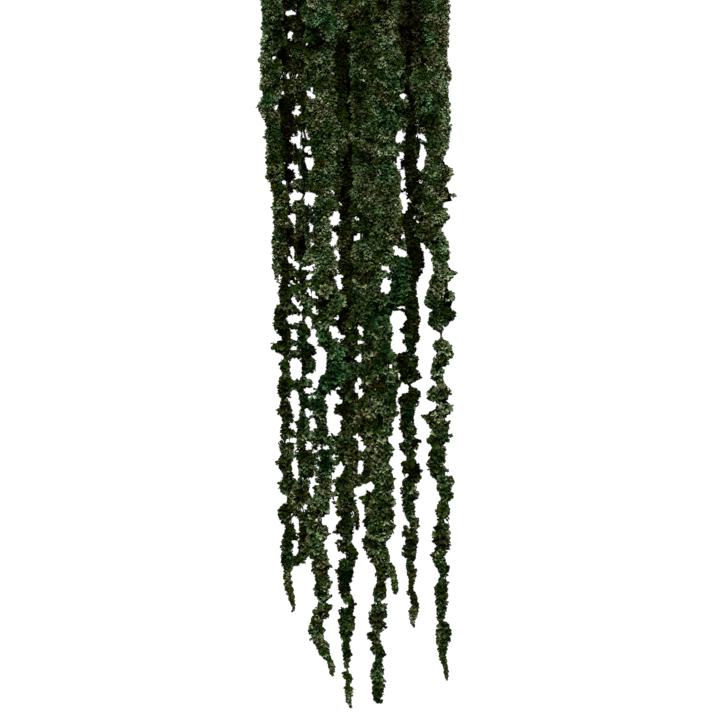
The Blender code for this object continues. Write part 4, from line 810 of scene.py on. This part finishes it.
def clear_of_gaps(points, room):
    """Which points lie outside all gaps, with room to spare."""
    first, second = [np.sin(x * points[:, 0] + y * points[:, 1]) for x, y in RIPPLE_WAYS]
    room = room + GAP_RIPPLE * (first * second)
    order = np.argsort(MIDDLE_DOWN - points[:, 1])
    sorted_down = (MIDDLE_DOWN - points[:, 1])[order]
    clear = np.ones(len(points), dtype=bool)
    for first_across, first_down, last_across, last_down, half in GAPS:
        reach = half + room.max()
        from_down, to_down = min(first_down, last_down) - reach, max(first_down, last_down) + reach
        near = order[np.searchsorted(sorted_down, from_down):np.searchsorted(sorted_down, to_down)]
        run = np.array([last_across - first_across, last_down - first_down])
        apart = np.stack([points[near, 0] + MIDDLE_ACROSS, MIDDLE_DOWN - points[near, 1]], 1)
        apart -= (first_across, first_down)
        share = np.clip(apart @ run / max(run @ run, 1e-6), 0, 1)
        clear[near[np.linalg.norm(apart - share[:, None] * run, axis=1) < half + room[near]]] = False
    return clear


def within_edges(points, line, room):
    """Which points lie between the edges of a tassel, or past them by less than the room."""
    left, right = limits(line, MIDDLE_DOWN - points[:, 1])
    return (points[:, 0] > left - room) & (points[:, 0] < right + room)


def clusters_of(name, line, chance):
    """Middle and radius of each round cluster along a tassel: rows down its outside, one down its middle, and
    its side shoots."""
    found = []
    for row in range(-1, ROWS_MOST):
        down = line["flowers_from"] + chance.uniform(0, ROW_STARTS)
        sway = chance.uniform(-FIRST_SWAY, FIRST_SWAY)
        while down < line["down"][-1] - ROW_ENDS:
            x, z, half, rise = at(line, down)
            if half < NECK_BARE:
                down += NECK_STEP
                continue
            if row < 0:
                radius = HEART_SHARE * min(half, rise)
                found.append((x, MIDDLE_DOWN - down, z, radius))
                down += HEART_GAP * radius
                continue
            coarse = smooth(down, *COARSENING)
            radius = over_length(CLUSTER_SHARE, coarse) * half
            radius = min(max(radius, CLUSTER_LEAST), CLUSTER_MOST) * chance.uniform(*CLUSTER_VARIES)
            proud = over_length(PROUD, coarse)
            out = max(half + proud - radius - CLUSTER_SUNK, CLUSTER_OUT)
            up = max(rise + proud - radius - CLUSTER_SUNK, CLUSTER_OUT)
            rows = 2 * round(math.pi * (out + up) / 2 / (CLUSTER_TURN * radius))
            rows = min(max(ROWS_LEAST, rows), ROWS_MOST)
            sway = SWAY_KEPT * sway + chance.uniform(-MORE_SWAY, MORE_SWAY)
            reach = chance.uniform(*ABOUT)
            if row < rows:
                angle = 2 * math.pi * row / rows + sway * SWAY_TURN / rows
                x, z = x + out * reach * math.cos(angle), z + up * reach * math.sin(angle)
                found.append((x, MIDDLE_DOWN - down, z, radius))
            down += over_length(CLUSTER_GAP, coarse) * radius * chance.uniform(*ABOUT)
    for first_across, first_down, last_across, last_down, size in SHOOTS.get(name, []):
        length = math.dist((first_across, first_down), (last_across, last_down))
        for share in np.linspace(0, 1, max(1, round(length / (SHOOT_GAP * size))) + 1):
            radius = size * chance.uniform(*SHOOT_VARIES)
            across = first_across + (last_across - first_across) * share
            across = across + chance.uniform(*SHOOT_ASIDE) * radius
            down = first_down + (last_down - first_down) * share
            height = at(line, down)[1] - SHOOT_LOWER + chance.uniform(*SHOOT_UP) * radius
            left, right = limits(line, down)
            x = min(max(across - MIDDLE_ACROSS, left + SHOOT_INSIDE * radius), right - SHOOT_INSIDE * radius)
            found.append((x, MIDDLE_DOWN - down, max(height, radius + SHOOT_CLEAR), radius))
    found = np.array(found)
    return found[clear_of_gaps(found, CLUSTER_ROOM * found[:, 3])]


def shaded_core_of(line, clusters):
    """The body of a tassel under its bracts, near black as painted shade: the skin round all clusters, seen
    from the stalk.
    """
    levels = np.arange(MIDDLE_DOWN - line["flowers_from"], MIDDLE_DOWN - line["down"][-1], -CORE_STEP)
    angle = np.arange(CORE_SIDES) * 2 * math.pi / CORE_SIDES
    ways = np.stack([np.cos(angle), np.sin(angle)], 1)
    radii = np.full((len(levels), CORE_SIDES), CORE_LEAST)
    for number, level in enumerate(levels):
        x, z, half, _ = at(line, MIDDLE_DOWN - level)
        left = clusters[:, 3] ** 2 - (clusters[:, 1] - level) ** 2
        near = (left > 0) & (np.abs(clusters[:, 0] - x) < half)
        if not near.any():
            continue
        offset = clusters[near][:, [0, 2]] - (x, z)
        along = offset @ ways.T
        room = left[near][:, None] - ((offset ** 2).sum(1)[:, None] - along ** 2)
        reach = np.where(room > 0, along + np.sqrt(np.clip(room, 0, None)), CORE_LEAST).max(0)
        radii[number] = np.maximum(reach - CORE_UNDER, CORE_LEAST)
    for _ in range(CORE_EVENED):
        radii[1:] = np.minimum(radii[1:], radii[:-1] + CORE_SLOPE * CORE_STEP)
        radii[:-1] = np.minimum(radii[:-1], radii[1:] + CORE_SLOPE * CORE_STEP)
    down = MIDDLE_DOWN - levels
    middle = {key: np.interp(down, line["down"], line[key]) for key in ("x", "z")}
    for _ in range(CORE_TRIMS):
        skin = np.stack([middle["x"][:, None] + radii * ways[:, 0], levels[:, None] + 0 * radii], -1)
        skin = skin.reshape(-1, 2)
        clear = (clear_of_gaps(skin, CORE_ROOM) & within_edges(skin, line, -CORE_ROOM)).reshape(radii.shape)
        radii = np.where(clear, radii, CORE_TRIM * radii)
    return tube({"down": down, **middle}, np.ones(len(levels)), CORE_SIDES, radii)


def shaded_shoot_cores(name, line):
    """The bodies of a tassel's side shoots, near black as painted shade."""
    bodies = []
    for first_across, first_down, last_across, last_down, size in SHOOTS.get(name, []):
        down = np.linspace(first_down, last_down, len(SHOOT_SWELL))
        left, right = limits(line, down)
        across = np.linspace(first_across, last_across, len(SHOOT_SWELL)) - MIDDLE_ACROSS
        across = np.clip(across, left + size, right - size)
        height = np.maximum(np.interp(down, line["down"], line["z"]) - SHOOT_LOWER, size)
        clear = clear_of_gaps(np.stack([across, MIDDLE_DOWN - down], 1), SHOOT_ROOM * size)
        radii = size * SHOOT_SWELL * np.where(clear, 1, SHOOT_IN_GAP)
        bodies.append(tube({"down": down, "x": across, "z": height}, radii, SHOOT_SIDES))
    return bodies


def joined(bodies):
    """Several bodies of corners and triangles as one."""
    starts = np.cumsum([0] + [len(corners) for corners, _ in bodies])
    faces = [part + start for (_, part), start in zip(bodies, starts)]
    return np.concatenate([corners for corners, _ in bodies]), np.concatenate(faces)


def even_ball(count, chance):
    """Points spread evenly over a ball of radius 1, turned at random."""
    number = np.arange(count) + 0.5
    height = 1 - 2 * number / count
    around = number * GOLDEN_ANGLE + chance.uniform(0, BALL_TURN)
    flat = np.sqrt(1 - height ** 2)
    points = np.stack([flat * np.cos(around), flat * np.sin(around), height], 1)
    turned, _ = np.linalg.qr(chance.normal(size=(3, 3)))
    return points @ turned


def share_of_patch(kind, points):
    """How much each point lies within the patches of one kind."""
    across, down = points[:, 0] + MIDDLE_ACROSS, MIDDLE_DOWN - points[:, 1]
    share = np.zeros(len(points))
    for patch_across, patch_down, half_across, half_down in HUE_AND_PAINTED_LIGHT_PATCHES[kind]:
        apart = np.hypot((across - patch_across) / half_across, (down - patch_down) / half_down)
        share = np.maximum(share, 1 - smooth(apart, *PATCH_FADES))
    return share


def drift(points, length, number):
    """A slow wandering of about 1 either way over the plant, with waves of about this length in mm."""
    chance = np.random.default_rng([number, DRIFT_SEED])
    total = np.zeros(len(points))
    for _ in range(DRIFT_WAVES):
        way = chance.uniform(0, 2 * math.pi)
        pace = 2 * math.pi / (length * chance.uniform(*WAVE_VARIES))
        along = points[:, 0] * math.cos(way) + points[:, 1] * math.sin(way)
        total += np.sin(along * pace + chance.uniform(0, WAVE_SHIFT))
    return total / DRIFT_EVEN


def flower_scale(radius):
    """Small clusters have smaller flowers."""
    return np.clip(radius / FULL_FLOWER, LEAST_FLOWER, 1)


def seats_of(clusters, chance):
    """Where flowers can sit all over the clusters: the point, the way it faces, and its cluster's radius,
    tone and hue and how open it lies, which sets painted shade in the crevices; and which of them aren't
    hidden in another cluster or in a gap."""
    seats, ways, traits, shown, openness = [], [], [], [], []
    for own, (x, y, z, radius) in enumerate(clusters):
        coarse = smooth(MIDDLE_DOWN - y, *COARSENING)
        area = 4 * math.pi * radius ** 2
        count = round(area * over_length(DENSITY, coarse) / flower_scale(radius) ** 2)
        way = even_ball(max(LEAST_SEATS, count), chance)
        seat = np.array([x, y, z]) + way * radius
        near = np.flatnonzero(np.abs(clusters[:, 1] - y) < radius + CLUSTER_MOST * 2)
        apart = np.linalg.norm(seat[:, None] - clusters[near, :3], axis=2) / clusters[near, 3]
        others = np.where(near == own, ALONE, apart).min(1)
        seats.append(seat)
        ways.append(way)
        traits.append(np.tile([radius, chance.uniform(), chance.uniform(-1, 1)], (len(seat), 1)))
        shown.append(others > CREVICE[0])
        # how open a seat lies, which later sets its painted crevice shade
        openness.append(smooth(others, *CREVICE))
    seats = np.concatenate(seats)
    shown = np.concatenate(shown) & clear_of_gaps(seats, GAP_ROOM)
    traits = np.column_stack([np.concatenate(traits), np.concatenate(openness)]).T
    return seats, np.concatenate(ways), traits, shown


def unit(vectors):
    """The same directions with length 1."""
    return vectors / np.linalg.norm(vectors, axis=1)[:, None]


def flowers(seats, ways, traits, line, number):
    """A flower of pointed bracts on each seat: the corners of its bracts and how pale each bract is. Every
    trait has a source of chance of its own, so that a flower stays as it is when others come or go."""
    count = len(seats)
    sources = iter([np.random.default_rng([number, part]) for part in range(4 + 5 * BRACTS)])
    cluster_radius, cluster_tones, _, openness = traits
    down = MIDDLE_DOWN - seats[:, 1]
    coarse = smooth(down, *COARSENING)
    x, z, half, rise = [np.interp(down, line["down"], line[key]) for key in ("x", "z", "half", "rise")]
    slender = smooth(-half, -SLENDER[0], -SLENDER[1])
    # how far out a flower sits, for painted shade deep in the tassel and painted light on its outside
    outside = smooth(np.hypot((seats[:, 0] - x) / half, (seats[:, 2] - z) / rise), *OUTSIDE)
    lean = TIP_LEAN + SLENDER_LEAN * slender
    stray = next(sources).normal(scale=FLOWER_STRAY, size=(count, 3))
    facing = unit(ways + stray - np.array([0, 1, 0]) * lean[:, None])
    first = unit(np.cross(facing, next(sources).normal(size=(count, 3))))
    second = np.cross(facing, first)
    mixed = next(sources).uniform(0, 1, (count, 3))
    size = FLOWER_SIZES[0] + FLOWER_SIZES[1] * mixed[:, 0]
    size = size * (1 - SLENDER_SMALL * slender) * flower_scale(cluster_radius)
    turn = 2 * math.pi * mixed[:, 1]
    spread = 1 - SLENDER_SHUT * slender
    # painted light: flowers that face up are paler and those that face sideways darker, as if lit from above
    upward = SIDE_PAINTED_SHADE + UPPER_PAINTED_LIGHT * np.clip(ways[:, 2] + UPPER_FROM, 0, 1)
    corners, tones = [], []
    for bract in range(BRACTS):
        mixed_bract = next(sources).uniform(0, 1, (count, 4))
        sizes = BRACT_SIZES[0] + BRACT_SIZES[1] * mixed_bract
        angle = turn + 2 * math.pi * bract / BRACTS + next(sources).normal(scale=BRACT_STRAY, size=count)
        tilt = (over_length(OPEN, coarse) + OPEN_MORE * mixed_bract[:, 0]) * spread
        out = first * np.cos(angle)[:, None] + second * np.sin(angle)[:, None]
        way = facing * np.cos(tilt)[:, None] + out * np.sin(tilt)[:, None]
        inner = unit(facing - way * (facing * way).sum(1)[:, None])
        side = np.cross(way, inner)
        length = (over_length(LONG, coarse) * size * sizes[:, 1])[:, None]
        width = (over_length(WIDE, coarse) * size * sizes[:, 2])[:, None]
        foot = seats - facing * FOOT_SUNK + out * FOOT_OUT
        belly = foot + way * length * BELLY_ALONG
        corners.append(np.stack([
            foot,
            belly + side * width / 2,
            belly - side * width / 2,
            belly - inner * width * KEEL_DEPTH,
            foot + way * length + inner * length * TIP_CURL], 1))
        tone = CLUSTER_TONE * cluster_tones + FLOWER_TONE * mixed[:, 2] + BRACT_TONE * mixed_bract[:, 3]
        tone = tone + COARSE_TONE * (cluster_tones - MIDDLE_TONE) * coarse
        tone = tone * (INNER_PAINTED_SHADE + OUTER_PAINTED_LIGHT * outside) * upward
        # painted shade where a flower sits in the crevice beside another cluster
        tones.append(tone * (CREVICE_PAINTED_SHADE + OPEN_PAINTED_LIGHT * openness))
    return np.stack(corners, 1), np.stack(tones, 1)


# BRACT_PAINTED_SHADE is near black, painted shade for bract feet, the body under the bracts and dark places.
# The pale colours are partly the bracts' own papery tips and partly painted highlight, as the bracts have no
# specular reflection of their own.
BRACT_PAINTED_SHADE = (0.0012, 0.0016, 0.0001)
BRACT_GREEN = (0.018, 0.041, 0.001)
BRACT_PALE_HIGHLIGHT = (0.46, 0.56, 0.3)
TEAL_GREEN = (0.008, 0.038, 0.007)
TEAL_PALE_HIGHLIGHT = (0.2, 0.44, 0.18)
BROWN_GREEN = (0.026, 0.023, 0.0015)
BROWN_PALE_HIGHLIGHT = (0.43, 0.4, 0.2)
FOOT_SHADE_ALONG, TIP_HIGHLIGHT_ALONG = (0.0, 0.5), (0.2, 1.0)  # shares of a bract's length: its painted foot shade turns to green over the first, and its pale tip, partly painted highlight, grows over the second
CLOUDS_TO_METRE, CLOUD_RANGE = 90.0, (0.35, 0.7)  # soft clouds of paler bracts
CLOUD_TONE, LESS_TONE = 0.35, 0.08  # how much they add, and how much all bracts are less pale for it
TONE_RANGE, TONE_BEND = (0.22, 1.14), 1.8  # from the darkest to the palest, with few pale ones

flower_finish, flower_wire, flower_shader = finish("papery_bracts", 0.8, 0.0)
along_bract = flower_wire.measured("along")
teal = flower_wire.measured("teal")
brown = flower_wire.measured("brown")
cloud = flower_wire.speckle(CLOUDS_TO_METRE, 2.0)
low_green = brown.blend(teal.blend(BRACT_GREEN, TEAL_GREEN), BROWN_GREEN)
pale_highlight_green = brown.blend(teal.blend(BRACT_PALE_HIGHLIGHT, TEAL_PALE_HIGHLIGHT), BROWN_PALE_HIGHLIGHT)
# painted shade at each bract's foot, turning to green along it
foot_shaded_green = along_bract.kept(*FOOT_SHADE_ALONG).blend(BRACT_PAINTED_SHADE, low_green)
tone_wire = flower_wire.measured("tone") + cloud.kept(*CLOUD_RANGE) * CLOUD_TONE - LESS_TONE
# pale towards the tip: partly the bract's own paleness, partly painted highlight
paleness = along_bract.kept(*TIP_HIGHLIGHT_ALONG) * tone_wire.kept(*TONE_RANGE) ** TONE_BEND
full_colour = paleness.kept(0.0, 1.0).blend(foot_shaded_green, pale_highlight_green)
connect(flower_wire.measured("dark").blend(full_colour, BRACT_PAINTED_SHADE), flower_shader, "Base Color")

for name, line in lines.items():
    number = int(name[-2:])
    chance = np.random.default_rng(number)
    clusters = clusters_of(name, line, chance)
    core_corners, core_faces = joined([shaded_core_of(line, clusters), *shaded_shoot_cores(name, line)])
    seats, ways, traits, shown = seats_of(clusters, chance)
    bract_corners, tones = flowers(seats, ways, traits, line, number)
    tips, keels = bract_corners[:, :, TIP].reshape(-1, 3), bract_corners[:, :, KEEL].reshape(-1, 3)
    clear = clear_of_gaps(tips, GAP_TIP_ROOM) & clear_of_gaps(keels, GAP_TIP_ROOM)
    clear &= within_edges(tips, line, EDGE_ROOM) & within_edges(keels, line, EDGE_ROOM)
    kept = shown[:, None] & clear.reshape(-1, BRACTS)
    bracts = kept.sum()
    corners = np.concatenate([core_corners, bract_corners[kept].reshape(-1, 3)])
    corners[:, 2] = np.maximum(corners[:, 2], FLOOR_CLEAR)
    faces = (np.arange(bracts)[:, None, None] * len(BRACT_ALONG) + BRACT_PATTERN).reshape(-1, 3)
    body = np.zeros(len(core_corners))  # the body, near black as painted shade, has no share in what differs from bract to bract
    along = np.concatenate([body, np.tile(BRACT_ALONG, bracts)])
    tone = np.concatenate([body, np.repeat(tones[kept], len(BRACT_ALONG))])
    own_hue = np.repeat(np.repeat(traits[2], BRACTS)[kept.ravel()], len(BRACT_ALONG))
    own_hue = np.concatenate([body, own_hue])
    down = MIDDLE_DOWN - corners[:, 1]
    # the listed paleness, partly painted light and shade, and the listed hue
    places, listed_light, listed_hue = np.array(TINTS_AND_PAINTED_LIGHT[name]).T
    # painted light in pale patches, on top of the listed paleness
    light = np.interp(down, places, listed_light) + PALE_LIGHT * share_of_patch("pale", corners)
    # painted shade in dim patches
    light -= DIM_LIGHT * share_of_patch("dim", corners)
    light += LIGHT_DRIFT * (1 - DRIFT_FADE * smooth(down, *DRIFT_FADES)) * drift(corners, LIGHT_WAVE, number)
    hue = np.interp(down, places, listed_hue) + CLUSTER_HUE * own_hue
    hue += HUE_DRIFT * drift(corners, HUE_WAVE, number + HUE_APART)
    # painted shade: dark tints and dark patches turn the whole bract near black
    darkness = np.maximum(-LIGHT_DARK * light, PATCH_DARK * share_of_patch("dark", corners))
    # tone: each bract's own random paleness together with its painted light and shade; dark: painted shade on
    # the tassels behind and in dark patches, with some of the tassels' own dark colour
    values = {
        "along": along,
        "tone": tone * (1 + LIGHT_TONE * light),
        "dark": np.clip(darkness, 0, 1),
        "teal": np.clip(np.maximum(hue, share_of_patch("teal", corners)), 0, 1),
        "brown": np.clip(np.maximum(-hue, share_of_patch("brown", corners)), 0, 1)}
    faces = np.concatenate([core_faces, faces + len(core_corners)])
    piece(name.replace("tassel", "flowers"), corners, faces, values, flower_finish, name)

# The setting: a plain pale surface that the plant lies on, soft even light from above, and a camera that
# looks straight down at the lower part of the plant.

FLOOR_REACH = 4
FLOOR_GREY, FLOOR_GLOW = 0.1, 1.0
SOFT_LIGHT = 0.35
SUN_LIGHT, SUN_WIDTH, SUN_TILT = 4.0, 8, -35  # with width and tilt in degrees
PICTURE_SIDE = 720 * MM
VIEW_ACROSS, VIEW_DOWN = 110, 360  # what the camera looks at
CAMERA_HEIGHT = 6.0
TRUE_SIZE_HEIGHT = 20 * MM  # flowers at this height off the surface are seen at their true size
SENSOR_WIDTH = 36
SIGHT = 20

floor_mesh = bpy.data.meshes.new("floor")
floor_corners = [(x * FLOOR_REACH, y * FLOOR_REACH, 0) for x, y in ((-1, -1), (1, -1), (1, 1), (-1, 1))]
floor_mesh.from_pydata(floor_corners, [], [(0, 1, 2, 3)])
floor = bpy.data.objects.new("floor", floor_mesh)
bpy.context.scene.collection.objects.link(floor)
floor_finish, _, floor_shader = finish("pale_floor", 0.9, 0.1)
floor_shader.inputs["Base Color"].default_value = (FLOOR_GREY, FLOOR_GREY, FLOOR_GREY, 1.0)
floor_shader.inputs["Emission Color"].default_value = (1.0, 1.0, 1.0, 1.0)
floor_shader.inputs["Emission Strength"].default_value = FLOOR_GLOW
floor_mesh.materials.append(floor_finish)

world = bpy.data.worlds.new("soft_light")
world.use_nodes = True
world.node_tree.nodes["Background"].inputs["Color"].default_value = (1.0, 1.0, 1.0, 1.0)
world.node_tree.nodes["Background"].inputs["Strength"].default_value = SOFT_LIGHT
bpy.context.scene.world = world
bpy.context.scene.view_settings.view_transform = "Standard"

sun_light = bpy.data.lights.new("window", "SUN")
sun_light.energy = SUN_LIGHT
sun_light.angle = math.radians(SUN_WIDTH)
sun = bpy.data.objects.new("window", sun_light)
sun.rotation_euler = (math.radians(SUN_TILT), 0, 0)
bpy.context.scene.collection.objects.link(sun)

lens = bpy.data.cameras.new("camera")
lens.sensor_width = SENSOR_WIDTH
lens.lens = lens.sensor_width * (CAMERA_HEIGHT - TRUE_SIZE_HEIGHT) / PICTURE_SIDE
lens.clip_end = SIGHT
camera = bpy.data.objects.new("camera", lens)
camera.location = ((VIEW_ACROSS - MIDDLE_ACROSS) * MM, (MIDDLE_DOWN - VIEW_DOWN) * MM, CAMERA_HEIGHT)
bpy.context.scene.collection.objects.link(camera)
bpy.context.scene.camera = camera
